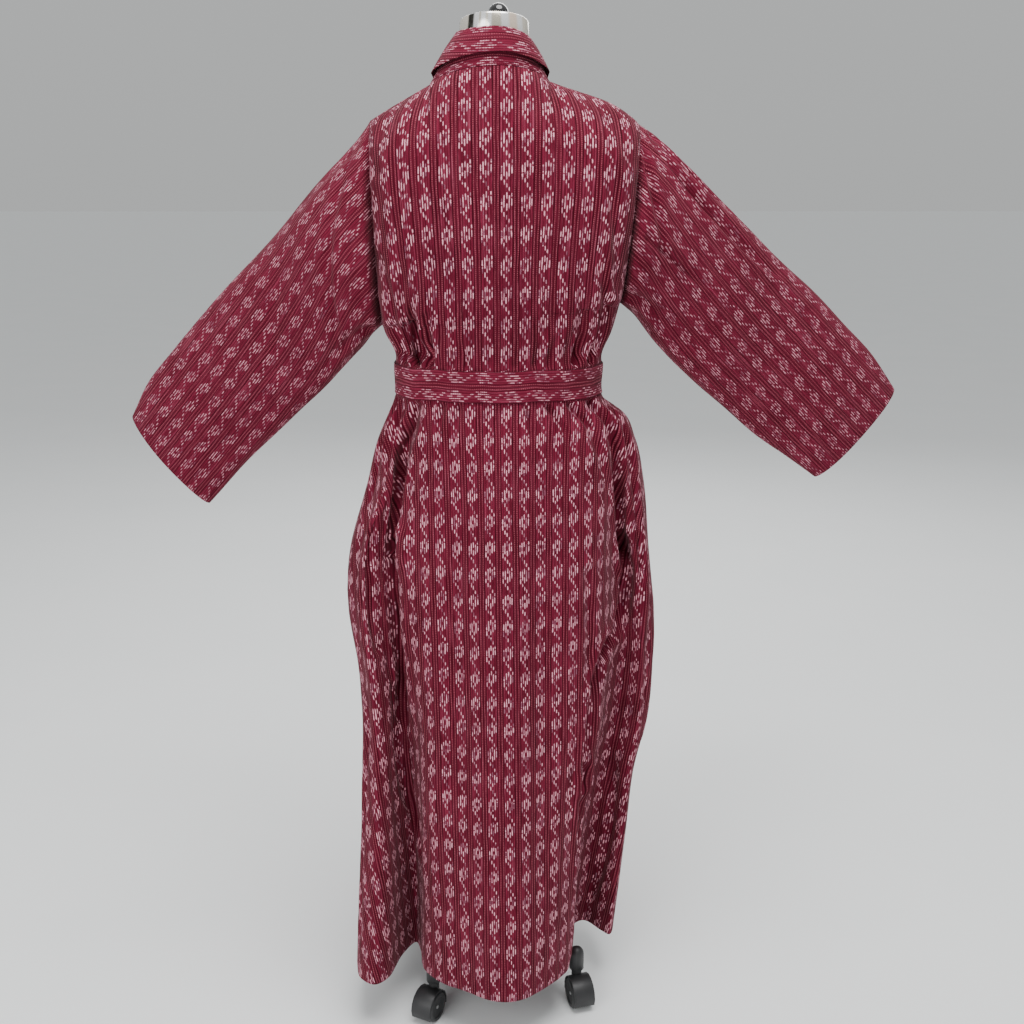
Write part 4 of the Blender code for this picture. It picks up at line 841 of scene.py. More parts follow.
def body_normals(back, front):
    """Normals of both halves, the same on both sides of each seam."""
    joined = CHEST_ROWS - 1
    neck = columns_in(NECK_ANGLE)
    normals = []
    for grid, other in ((back, front), (front, back)):
        before = 2.0 * grid[:, 0] - grid[:, 1]
        after = 2.0 * grid[:, -1] - grid[:, -2]
        before[joined:] = other[joined:, -2]
        after[joined:] = other[joined:, 1]
        above = 2.0 * grid[0] - grid[1]
        mirrored = other[1, ::-1]
        above[:neck + 1] = mirrored[:neck + 1]
        above[-neck - 1:] = mirrored[-neck - 1:]
        normals.append(grid_normals(grid, before, after, above))
    back_normals, front_normals = normals
    for column, mirror in ((0, -1), (-1, 0)):
        shared = unit(back_normals[joined:, column] + front_normals[joined:, mirror])
        back_normals[joined:, column] = shared
        front_normals[joined:, mirror] = shared
    shared = unit(back_normals[0] + front_normals[0, ::-1])
    for part in (slice(0, neck + 1), slice(HALF_COLUMNS - neck, None)):
        back_normals[0, part] = shared[part]
        front_normals[0, ::-1][part] = shared[part]
    return back_normals, front_normals


def run_across(grid, centre):
    """Level distance along each row of a grid from its centre column."""
    across = running(np.linalg.norm(np.diff(grid, axis=1)[..., :2], axis=-1), 1)
    return across - across[:, centre:centre + 1]


def smooth_down(values, rows):
    """Values smoothed down their columns over that many rows."""
    reach = 3 * rows
    weights = np.exp(-0.5 * (np.arange(-reach, reach + 1) / rows) ** 2)
    first = np.repeat(values[:1], reach, axis=0)
    last = np.repeat(values[-1:], reach, axis=0)
    padded = np.concatenate((first, values, last))
    total = sum(weight * padded[index:index + len(values)] for index, weight in enumerate(weights))
    return total / weights.sum()


def body_weave(degrees, grid, creased, middle, across_start, bodice_start, skirt_start):
    """Where each point of a half lies in the weave: metres across from its middle, metres down."""
    ease = EASE_AT(grid[..., 2])
    centre = int(np.argmin(np.abs(degrees - middle)))
    across = run_across(grid, centre)
    extra = run_across(creased, centre) - across
    waist = CHEST_ROWS + WAIST_ROWS
    extra = np.concatenate((smooth_down(extra[:waist], CALM_ROWS), smooth_down(extra[waist:], CALM_ROWS)))
    across = (across + CREASE_SHARE * extra) * REPEAT[0] * MM_PER_METRE / ease[..., 0]
    side = np.gradient(grid, axis=1) * np.array([1.0, 1.0, 0.0])
    side = unit(side[1:] + side[:-1])
    step = np.diff(grid, axis=0)
    step = np.linalg.norm(step - np.sum(step * side, axis=-1, keepdims=True) * side, axis=-1)
    down = running(step * REPEAT[1] * MM_PER_METRE / ease[1:, :, 1])
    bodice = down - down[waist - 1] + bodice_start
    skirt = down - down[waist - 1 + BELT_ROWS] + skirt_start
    rows = np.arange(len(grid))[:, None]
    return np.stack((across + across_start, np.where(rows < waist, bodice, skirt)), axis=-1)


def bent_line(row):
    """Points and depths along a crease, through the row's three places."""
    ends = np.array(row[:9]).reshape(3, 3)
    share = np.linspace(0.0, 1.0, CREASE_STEPS + 1)[:, None]
    middle = 2.0 * ends[1] - 0.5 * (ends[0] + ends[2])
    return (1.0 - share) ** 2 * ends[0] + 2.0 * share * (1.0 - share) * middle + share * share * ends[2]


def press_creases(table, degrees, run, scale):
    """How far creases push each point in, from degrees round, metres along and metres to a degree."""
    push = np.zeros(run.shape)
    sway_size, sway_turns, sway_start = CREASE_SWAY
    for number, row in enumerate(table):
        line = bent_line(row)
        width, lean = row[9] / MM_PER_METRE, row[10]
        reach = CREASE_REACH * width
        near = (run > line[:, 1].min() - reach) & (run < line[:, 1].max() + reach)
        near &= (degrees > line[:, 0].min() - reach / scale) & (degrees < line[:, 0].max() + reach / scale)
        turn, place, to_metres = degrees[near][:, None], run[near][:, None], scale[near][:, None]
        step_turn = np.diff(line[:, 0]) * to_metres
        step_place = np.diff(line[:, 1])
        off_turn, off_place = (turn - line[:-1, 0]) * to_metres, place - line[:-1, 1]
        length = np.maximum(step_turn ** 2 + step_place ** 2, TINY)
        along = np.clip((off_turn * step_turn + off_place * step_place) / length, 0.0, 1.0)
        gap = np.hypot(off_turn - along * step_turn, off_place - along * step_place)
        best = np.argmin(gap, axis=1)[:, None]
        share = (np.take_along_axis(along, best, 1) + best)[:, 0] / CREASE_STEPS
        side = np.sign(np.take_along_axis(step_turn * off_place - step_place * off_turn, best, 1)[:, 0])
        gap = np.take_along_axis(gap, best, 1)[:, 0] / (width * (1.0 + lean * side))
        depth = np.interp(share, np.linspace(0.0, 1.0, CREASE_STEPS + 1), line[:, 2]) / MM_PER_METRE
        depth *= 1.0 + sway_size * np.sin(sway_turns * share + sway_start * number)
        push[near] += depth * (hump(gap, 0.0, 1.0) - CREASE_RIDGE * hump(gap, RIDGE_PLACE, RIDGE_WIDTH))
    return push


def unevenness(points):
    """Slow waves of the cloth, the same wherever two pieces meet."""
    waves = 0.0
    for x, y, z, start, size in UNEVEN:
        waves = waves + size / MM_PER_METRE * np.sin(points @ np.array((x, y, z)) + start)
    return waves


def edge_distance(grid, axis, last):
    """Distance of each point from one edge of a grid."""
    step = np.linalg.norm(np.diff(grid, axis=axis), axis=-1)
    if last:
        return np.flip(running(np.flip(step, axis), axis), axis)
    return running(step, axis)


def armhole_depth(share, behind):
    """How far the cloth sinks at an armhole, from the shoulder, 0, to the underarm, 1."""
    values = np.clip(VALLEY_AT(share), 0.0, None) / MM_PER_METRE
    return np.where(behind, values[..., 0], values[..., 1])


def crease_body(degrees, grid, normals, behind):
    """The body with its creases, its slow unevenness and the valleys beside the armholes."""
    z = grid[..., 2]
    step = np.linalg.norm(np.gradient(grid, axis=1)[..., :2], axis=-1)
    scale = np.maximum(step * COLUMNS_PER_DEGREE, LEAST_SCALE)
    push = press_creases(BODY_CREASES, degrees + 0.0 * scale, z, scale)
    off_belt = np.maximum(np.maximum(z - BAND_TOP, BAND_BOTTOM - z), 0.0)
    calm = 1.0 - np.exp(-off_belt / BELT_CALM)
    calm = calm * smooth_step(0.0, EDGE_CALM, edge_distance(grid, 0, False))
    sides = np.minimum(edge_distance(grid, 1, False), edge_distance(grid, 1, True))
    chest = np.arange(len(grid))[:, None] < CHEST_ROWS
    calm = calm * np.where(chest, smooth_step(0.0, EDGE_CALM, sides), 1.0)
    push = (push - unevenness(grid)) * calm
    creased = grid - normals * push[..., None]
    share = np.clip(np.arange(len(grid)) / (CHEST_ROWS - 1.0), 0.0, 1.0)[:, None]
    sink = armhole_depth(share, behind) * hump(sides, 0.0, VALLEY_WIDTH["body"]) * chest
    creased[..., 1] -= sink * (1.0 if behind else -1.0)
    return clear_of_form(grid, creased)


def clear_of_form(grid, creased):
    """Hold the creased cloth just off the form inside it."""
    form = bpy.data.objects["torso"]
    corners = [(form.matrix_world @ vertex.co) for vertex in form.data.vertices]
    tree = BVHTree.FromPolygons(corners, [tuple(face.vertices) for face in form.data.polygons])
    moved = creased - grid
    length = np.linalg.norm(moved, axis=-1)
    for index in np.argwhere((length > FORM_LEAST) & (grid[..., 2] > FORM_BOTTOM)):
        index = tuple(index)
        way = Vector(moved[index] / length[index])
        start = Vector(grid[index] + SHIFT)
        hit = tree.ray_cast(start, way, float(length[index]) + FORM_ROOM)
        if hit[0] is not None:
            room = max(hit[3] - FORM_ROOM, 0.0)
            creased[index] = grid[index] + moved[index] * min(1.0, room / length[index])
    return creased


def turned_edge(layers, axis, last, count):
    """Fold a margin of the cloth under at one edge: the same points again, just inside."""
    grid, normals, weave = (np.swapaxes(layer, 0, axis) for layer in layers)
    if not last:
        grid, normals, weave = grid[::-1], normals[::-1], weave[::-1]
    out = unit(grid[-1] - grid[-2])
    rim = grid[-1] + (out - normals[-1]) * 0.5 * CLOTH
    under = (grid - normals * CLOTH)[-1:-count - 1:-1]
    grid = np.concatenate((grid, rim[None], under))
    normals = np.concatenate((normals, normals[-1:], normals[-1:-count - 1:-1]))
    weave = np.concatenate((weave, weave[-1:], weave[-1:-count - 1:-1]))
    if not last:
        grid, normals, weave = grid[::-1], normals[::-1], weave[::-1]
    return tuple(np.swapaxes(layer, 0, axis) for layer in (grid, normals, weave))


def turned_end_and_sides(layers, last, end_count, side_count):
    """Fold margins under at the first or last row and at both sides."""
    layers = turned_edge(layers, 0, last, end_count)
    layers = turned_edge(layers, 1, True, side_count)
    return turned_edge(layers, 1, False, side_count)


def add_object(name, data):
    """A new object in the scene."""
    thing = bpy.data.objects.new(name, data)
    bpy.context.scene.collection.objects.link(thing)
    return thing


def set_in_place(piece, body, node):
    """Let a piece ride on a body in place of its solid."""
    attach(piece, body)
    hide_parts(node)


def add_cloth(node, layers, material, closed=False, flip=False):
    """A piece of the robe through a grid of points, with the weave's coordinates on it."""
    name = "robe_" + node
    grid, _, weave = layers
    rows, columns = grid.shape[:2]
    turn = columns if closed else columns - 1
    row, column = np.meshgrid(np.arange(rows - 1), np.arange(turn), indexing="ij")
    corners = ((0, 0), (1, 0), (1, 1), (0, 1))
    if flip:
        corners = corners[::-1]
    points = [(row + down) * columns + (column + along) % columns for down, along in corners]
    points = np.stack(points, axis=-1)
    texture = [(row + down) * weave.shape[1] + column + along for down, along in corners]
    texture = np.stack(texture, axis=-1)
    mesh = bpy.data.meshes.new(name)
    mesh.vertices.add(rows * columns)
    mesh.vertices.foreach_set("co", (grid.reshape(-1, 3) + SHIFT).astype(np.float32).ravel())
    mesh.loops.add(points.size)
    mesh.loops.foreach_set("vertex_index", points.ravel().astype(np.int32))
    count = points.shape[0] * points.shape[1]
    mesh.polygons.add(count)
    mesh.polygons.foreach_set("loop_start", np.arange(count, dtype=np.int32) * len(corners))
    layer = mesh.uv_layers.new(name="weave")
    layer.data.foreach_set("uv", weave.reshape(-1, 2)[texture.ravel()].astype(np.float32).ravel())
    mesh.update(calc_edges=True)
    mesh.validate()
    mesh.shade_smooth()
    mesh.materials.append(material)
    set_in_place(add_object(name, mesh), "dressed_form", node)


def make_body(weave):
    """The back and the two fronts, lapped. Gives both halves and the fronts' normals."""
    back_degrees, back = body_grid(True)
    front_degrees, front = body_grid(False)
    back_normals, front_normals = body_normals(back, front)
    creased_back = crease_body(back_degrees, back, back_normals, True)
    creased_front = crease_body(front_degrees, front, front_normals, False)
    back_weave = body_weave(back_degrees, back, creased_back, *WEAVE_START["back"])
    front_weave = body_weave(front_degrees, front, creased_front, *WEAVE_START["front"])
    back_normals, front_normals = body_normals(creased_back, creased_front)

    middle = HALF_COLUMNS // 2
    lap = columns_in(LAP_ANGLE)
    start, end = (middle + lap - columns_in(degrees) for degrees in LAP_SET_IN)
    inset = LAP_INSET * smooth_step(start, end, np.arange(HALF_COLUMNS + 1))
    lower_front = creased_front - front_normals * inset[:, None]
    hem_rows = int(round(HEM_TURN / ((BELT_BOTTOM - HEM) / SKIRT_ROWS)))
    panels = (
        ("back", slice(None), creased_back, back_normals, back_weave),
        ("front_left", slice(middle - lap, None), creased_front, front_normals, front_weave),
        ("front_right", slice(0, middle + lap + 1), lower_front, front_normals, front_weave),
    )
    for node, kept, grid, normals, places in panels:
        layers = (grid[:, kept], normals[:, kept], places[:, kept])
        add_cloth(node, turned_end_and_sides(layers, True, hem_rows, TURNED["panel_sides"]), weave)
    return creased_back, creased_front, front_normals


def armhole_ring(left):
    """The armhole from the shoulder tip over the back and round the front."""
    phases = np.arange(SLEEVE_COLUMNS) * 2.0 * math.pi / SLEEVE_COLUMNS
    back_side, front_side = (NUDGE, 360.0 - NUDGE) if left else (180.0 - NUDGE, 180.0 + NUDGE)
    front_phase = np.minimum(2.0 * math.pi - phases, math.pi)
    behind = chest_points(np.full(SLEEVE_COLUMNS, back_side), np.minimum(phases, math.pi), True)
    ahead = chest_points(np.full(SLEEVE_COLUMNS, front_side), front_phase, False)
    return np.where((phases <= math.pi)[:, None], behind, ahead)


def sleeve_section(read, share):
    """Section of a sleeve: middle, half height vector, sideways vector."""
    values = read(share)
    before = read(max(share - SECTION_STEP, 0.0))
    after = read(min(share + SECTION_STEP, 1.0))
    run = unit(0.5 * (after[0:3] + after[3:6] - before[0:3] - before[3:6]))
    half = 0.5 * (values[0:3] - values[3:6])
    across = unit(np.cross(run, half))
    if across[1] < 0.0:
        across = -across
    return 0.5 * (values[0:3] + values[3:6]), half, across * values[6]


def sleeve_grid(table, armhole):
    """Rings of a sleeve from the armhole to the cuff."""
    read = curve([(index / (len(table) - 1), *row) for index, row in enumerate(table)])
    count = len(armhole)
    phases = np.arange(count)[:, None] * 2.0 * math.pi / count
    plain = []
    for share in SLEEVE_SHARES:
        middle, half, side = sleeve_section(read, share)
        plain.append(middle + np.cos(phases) * half + np.sin(phases) * side)
    fade = 1.0 - smooth_step(0.0, SLEEVE_JOIN, SLEEVE_SHARES)
    return np.array(plain) + (armhole - plain[0]) * fade[:, None, None]


def ring_normals(grid):
    """Outward normals of a tube's rings."""
    along = np.roll(grid, -1, axis=1) - np.roll(grid, 1, axis=1)
    down = np.gradient(grid, axis=0)
    normals = unit(np.cross(down, along))
    outward = np.sum(normals * (grid - grid.mean(axis=1, keepdims=True)), axis=(1, 2))
    return normals * np.where(outward < 0.0, -1.0, 1.0)[:, None, None]


def crease_sleeve(grid, name):
    """A sleeve with its creases, its slow unevenness and the valley beside the armhole."""
    count = grid.shape[1]
    length = np.linalg.norm(grid[-1].mean(axis=0) - grid[0].mean(axis=0))
    run = (SLEEVE_SHARES * length)[:, None] + np.zeros(grid.shape[:2])
    degrees = np.arange(count) * 360.0 / count + 0.0 * run
    step = np.linalg.norm(np.roll(grid, -1, axis=1) - grid, axis=-1)
    table = np.array(SLEEVE_CREASES[name])
    shares, turns = table[:, [0, 3, 6]], table[:, [1, 4, 7]]
    table[:, [0, 3, 6]], table[:, [1, 4, 7]] = turns, shares * length
    push = press_creases(table, degrees, run, np.maximum(step * count / 360.0, LEAST_SCALE))
    push = (push - unevenness(grid)) * smooth_step(0.0, EDGE_CALM, run)
    creased = grid - ring_normals(grid) * push[..., None]
    down = 1.0 - np.abs(1.0 - degrees / 180.0)
    sink = armhole_depth(down, degrees < 180.0) * hump(run, 0.0, VALLEY_WIDTH["sleeve"])
    creased[..., 1] -= sink * np.where(degrees < 180.0, 1.0, -1.0)
    return creased


def sleeve_weave(grid, left):
    """Where each point of a sleeve lies in the weave. The grain runs along the sleeve."""
    closed = np.concatenate((grid, grid[:, :1]), axis=1)
    start, end = grid[0].mean(axis=0), grid[-1].mean(axis=0)
    run = unit(end - start)
    sign = 1.0 if left else -1.0
    step = np.diff(closed, axis=1)
    across = running(np.linalg.norm(step - (step @ run)[..., None] * run, axis=-1), 1)
    across -= (closed[:, :1] - start) @ unit(np.cross(np.array([0.0, -sign, 0.0]), run))
    return np.stack((sign * across, (closed - start) @ run), axis=-1)


def make_sleeves(weave):
    """Both sleeves, each with its cuff turned under."""
    turned = TURNED["cuff"]
    for name, table in (("left", LEFT_SLEEVE), ("right", RIGHT_SLEEVE)):
        left = name == "left"
        plain = sleeve_grid(table, armhole_ring(left))
        places = sleeve_weave(plain, left)
        creased = crease_sleeve(plain, name)
        grid, normals, _ = turned_edge((creased, ring_normals(creased), places[:, :-1]), 0, True, turned)
        places = np.concatenate((places, places[-1:], places[-1:-turned - 1:-1]))
        add_cloth("sleeve_" + name, (grid, normals, places), weave, closed=True, flip=not left)


def neck_columns(back, front, front_normals, inset):
    """Neckline from the right front's edge, set in, round the back to the left front's edge."""
    middle = HALF_COLUMNS // 2
    neck = columns_in(NECK_ANGLE)
    lap = columns_in(LAP_ANGLE)
    right = np.arange(middle + lap, neck, -1)
    behind = np.arange(HALF_COLUMNS - neck, neck - 1, -1)
    left = np.arange(HALF_COLUMNS - neck - 1, middle - lap - 1, -1)
    set_back = inset * smooth_step(middle - lap - columns_in(LAP_EASE), middle - lap, right)
    right_points = front[0, right] - front_normals[0, right] * set_back[:, None]
    points = np.concatenate((right_points, back[0, behind], front[0, left]))
    columns = np.concatenate((HALF_COLUMNS + right, behind, HALF_COLUMNS + left))
    return points, columns / COLUMNS_PER_DEGREE


def fold_line(degrees, lap_inset):
    """Points of the collar's fold line above the neckline's columns."""
    across = side_sign(degrees) * np.minimum(column_width(degrees) / column_width(NECK_ANGLE), 1.0)
    behind = sine(degrees) > 0.0
    round_part = np.maximum(1.0 - across * across, 0.0)
    depth = np.where(behind, COLLAR["back"], -(COLLAR["front"] - lap_inset))
    side_z = between_sides(COLLAR["left_z"], COLLAR["right_z"], across)
    centre_z = np.where(behind, COLLAR["back_z"], COLLAR["front_z"])
    z = side_z + (centre_z - side_z) * round_part ** NECK_CURVE
    return np.stack((COLLAR["x"] + COLLAR["half_width"] * across, depth * np.sqrt(round_part), z), axis=-1)


def collar_lines(body, inset):
    """Neck seam, fold line, outward normals of the stand between them, and the columns' degrees."""
    low, degrees = neck_columns(*body, inset)
    start, end = (columns_in(angle) for angle in LAP_FADE)
    high = fold_line(degrees, inset * (1.0 - smooth_step(start, end, np.arange(len(degrees)))))
    normals = unit(np.cross(np.gradient(high + low, axis=0), high - low))
    if np.sum(normals[:, :2] * high[:, :2]) < 0.0:
        normals = -normals
    return low, high, normals, degrees


def run_along(points):
    """Distance along a line of points, from its middle."""
    run = running(np.linalg.norm(np.diff(points, axis=0), axis=-1))
    return run - run[len(run) // 2]


def strip_places(across, run):
    """Where a strip lies in the weave, from metres across for each row and metres along it."""
    return np.stack([np.stack((row + 0.0 * run, run), axis=-1) for row in across])


def make_collar_stand(body, weave):
    """The collar's upright band on the neckline."""
    low, high, normals, _ = collar_lines(body, LAP_INSET)
    shares = np.linspace(0.0, 1.0, STAND["rows"])
    up = unit(high - low)
    reach = high - up * STAND["below_fold"] - low
    lift = up * STAND["lift_along"] + np.array([0.0, 0.0, STAND["lift_up"]])
    grid = np.array([low + reach * share + lift * (1.0 - share) ** STAND["fade"] for share in shares])
    grid = grid - normals * STAND["set_in"]
    height = np.linalg.norm(high - low, axis=-1)
    across = [STAND["weave"] + height * share for share in shares]
    places = strip_places(across, run_along(0.5 * (low + high)))
    layers = turned_end_and_sides((grid, normals + 0.0 * grid, places), False, *TURNED["stand"])
    add_cloth("collar_stand", layers, weave, flip=True)


def make_collar_fall(body, weave):
    """The collar's fall, which rolls over the top of the stand and down outside."""
    low, high, normals, degrees = collar_lines(body, 0.0)
    skipped = columns_in(FALL["start"])
    keep = slice(skipped, -skipped)
    low, high, normals, degrees = low[keep], high[keep], normals[keep], degrees[keep]
    share = np.minimum(column_width(degrees) / column_width(NECK_ANGLE), 1.0) ** 2
    middle = np.where(sine(degrees) > 0.0, FALL_SHARE["back"], FALL_SHARE["front"])
    index = np.arange(len(degrees)) + skipped
    end = np.minimum(index, index[::-1])
    point = FALL_POINT * (1.0 - smooth_step(0.0, columns_in(FALL["points"]), end))
    drop = (low - high) * (middle + (FALL_SHARE["side"] - middle) * share + point)[:, None]
    length = np.linalg.norm(drop, axis=-1)
    up = unit(high - low)
    rows = []
    across = []
    for inside in FALL["inside"]:
        rows.append(high - up * inside - normals * (WALL + FALL["inside_gap"]))
        across.append(inside + FALL["inside_weave"])
    roll = WALL + 0.5 * LAYER
    for angle in np.radians(np.linspace(180.0, 0.0, FALL["roll_rows"])):
        out = LAYER + WALL - roll + roll * math.cos(angle)
        rows.append(high + normals * out + up * roll * math.sin(angle))
        across.append(FALL["roll_weave"] * angle / math.pi)
    for down in np.linspace(0.0, 1.0, FALL["rows"])[1:]:
        out = LAYER + WALL + FALL_FLARE * down + FALL["swell"] * math.sin(math.pi * down)
        rows.append(high + drop * down + normals * out)
        across.append(-length * down)
    grid = np.array(rows)
    places = strip_places([FALL["weave"] + row for row in across], run_along(high))
    layers = (grid, normals + 0.0 * grid, places)
    add_cloth("collar_fall", turned_end_and_sides(layers, True, *TURNED["fall"]), weave)


def make_belt(weave):
    """The belt round the waist."""
    degrees = np.arange(2 * HALF_COLUMNS) / COLUMNS_PER_DEGREE
    height = BELT_TOP - BELT_BOTTOM
    edge = LAYER + 0.5 * WALL
    start, end, count = BELT_FACE
    levels = [(BELT_TOP - height * share, LAYER + WALL) for share in np.linspace(start, end, count)]
    levels += [(BELT_BOTTOM, edge), (BELT_BOTTOM + BELT_EDGE, LAYER)]
    levels += [(BELT_TOP - BELT_EDGE, LAYER), (BELT_TOP, edge)]
    ends = [outline(degrees, np.full_like(degrees, z)) for z in (BELT_TOP, BELT_BOTTOM)]
    outward = ring_normals(np.array(ends))[0]
    sway = 0.0
    for turns, size, wave_start in BELT_WAVES:
        sway = sway + size * np.sin(np.radians(degrees * turns) + wave_start)
    rows = []
    across = []
    for z, out in levels:
        bulge = BELT_BULGE * math.sin(math.pi * (z - BELT_BOTTOM) / height) if out > edge else 0.0
        points = outline(degrees, np.full_like(degrees, z)) + outward * (out + bulge)
        points[:, 2] += sway
        rows.append(points)
        across.append(BELT_WEAVE + z - BELT_BOTTOM - 0.5 * height)
    rows.append(rows[0])
    across.append(across[0] + BELT_EDGE)
    grid = np.array(rows)
    places = strip_places(across, run_along(np.concatenate((grid[0], grid[0, :1]))))
    add_cloth("belt", (grid, None, places), weave, closed=True)


def front_depth(x, z):
    """How far the front stands out at x, at the height z."""
    degrees = np.linspace(*FRONT_COLUMNS)
    points = body_points(degrees, np.full_like(degrees, z))
    near = points[np.abs(points[:, 0] - x) < 0.5 * TAIL_WIDTH + TAIL_MARGIN]
    return -near[:, 1].min()


def make_tails(weave):
    """The belt's two tails, hanging down the front from the knot."""
    columns = np.linspace(1.0, -1.0, TAIL_COLUMNS)
    shares = np.linspace(0.0, 1.0, TAIL_ROWS)
    bend_size, bend_waves = TAIL_BEND
    cup_size, cup_waves = TAIL_CUP
    for name, top_x, end_x, length in TAILS:
        grid = []
        for share in shares:
            x = top_x + (end_x - top_x) * share
            z = BELT_BOTTOM - TAIL_DROP - length * share
            y = -front_depth(x, z) - TAIL_GAP - TAIL_EASE * smooth_step(0.0, TAIL_EASED, share)
            bend = bend_size * math.sin(bend_waves * share + top_x * TAIL_START) * share
            cup = cup_size * (1.0 - columns ** 2) * abs(math.cos(cup_waves * share))
            across = x + bend + 0.5 * TAIL_WIDTH * columns
            grid.append(np.stack((across, y - cup, 0.0 * across + z), axis=-1))
        grid = np.array(grid)
        normals = np.zeros_like(grid)
        normals[..., 1] = -1.0
        places = np.meshgrid(BELT_WEAVE + 0.5 * TAIL_WIDTH * columns, length * shares)
        layers = (grid, normals, np.stack(places, axis=-1))
        add_cloth("belt_tail_" + name, turned_end_and_sides(layers, True, *TURNED["tail"]), weave, flip=True)


def squared(value, power):
    """A sine or cosine drawn towards 1 or -1."""
    return np.sign(value) * np.abs(value) ** power


def make_knot(weave):
    """The tied knot: a soft lump of belt with the turns of the tie across it."""
    high, around = np.meshgrid(np.linspace(0.0, math.pi, KNOT["rows"]),
                               np.arange(KNOT["columns"]) * 2.0 * math.pi / KNOT["columns"], indexing="ij")
    ring = squared(np.sin(high), KNOT_POWERS["ends"])
    x = squared(np.cos(around), KNOT_POWERS["around"]) * ring
    y = squared(np.sin(around), KNOT_POWERS["around"]) * ring
    z = squared(np.cos(high), KNOT_POWERS["up"])
    turn = KNOT_TURN[0] * x + KNOT_TURN[1] * z
    crease_turn = KNOT_CREASE_TURN[0] * x + KNOT_CREASE_TURN[1] * z
    place, width, depth = KNOT_GROOVE
    sunk = depth * (hump(turn, place, width) + hump(turn, -place, width))
    width, depth = KNOT_CREASE
    size = 1.0 - (sunk + depth * hump(crease_turn, 0.0, width)) * ring
    half = 0.5 * np.array([KNOT["width"], KNOT["depth"], KNOT["height"]])
    behind = DEPTHS_AT(BELT_TOP)[1] + LAYER + WALL + KNOT["gap"]
    middle = np.array([0.0, -behind - half[1], 0.5 * (BELT_TOP + BELT_BOTTOM)])
    grid = middle + half * np.stack((x, y, z), axis=-1) * size[..., None]
    places = np.stack((BELT_WEAVE + KNOT["weave"] * turn, KNOT["weave"] * (z - x)), axis=-1)
    places = np.concatenate((places, places[:, :1]), axis=1)
    add_cloth("belt_knot", (grid, None, places), weave, closed=True, flip=True)


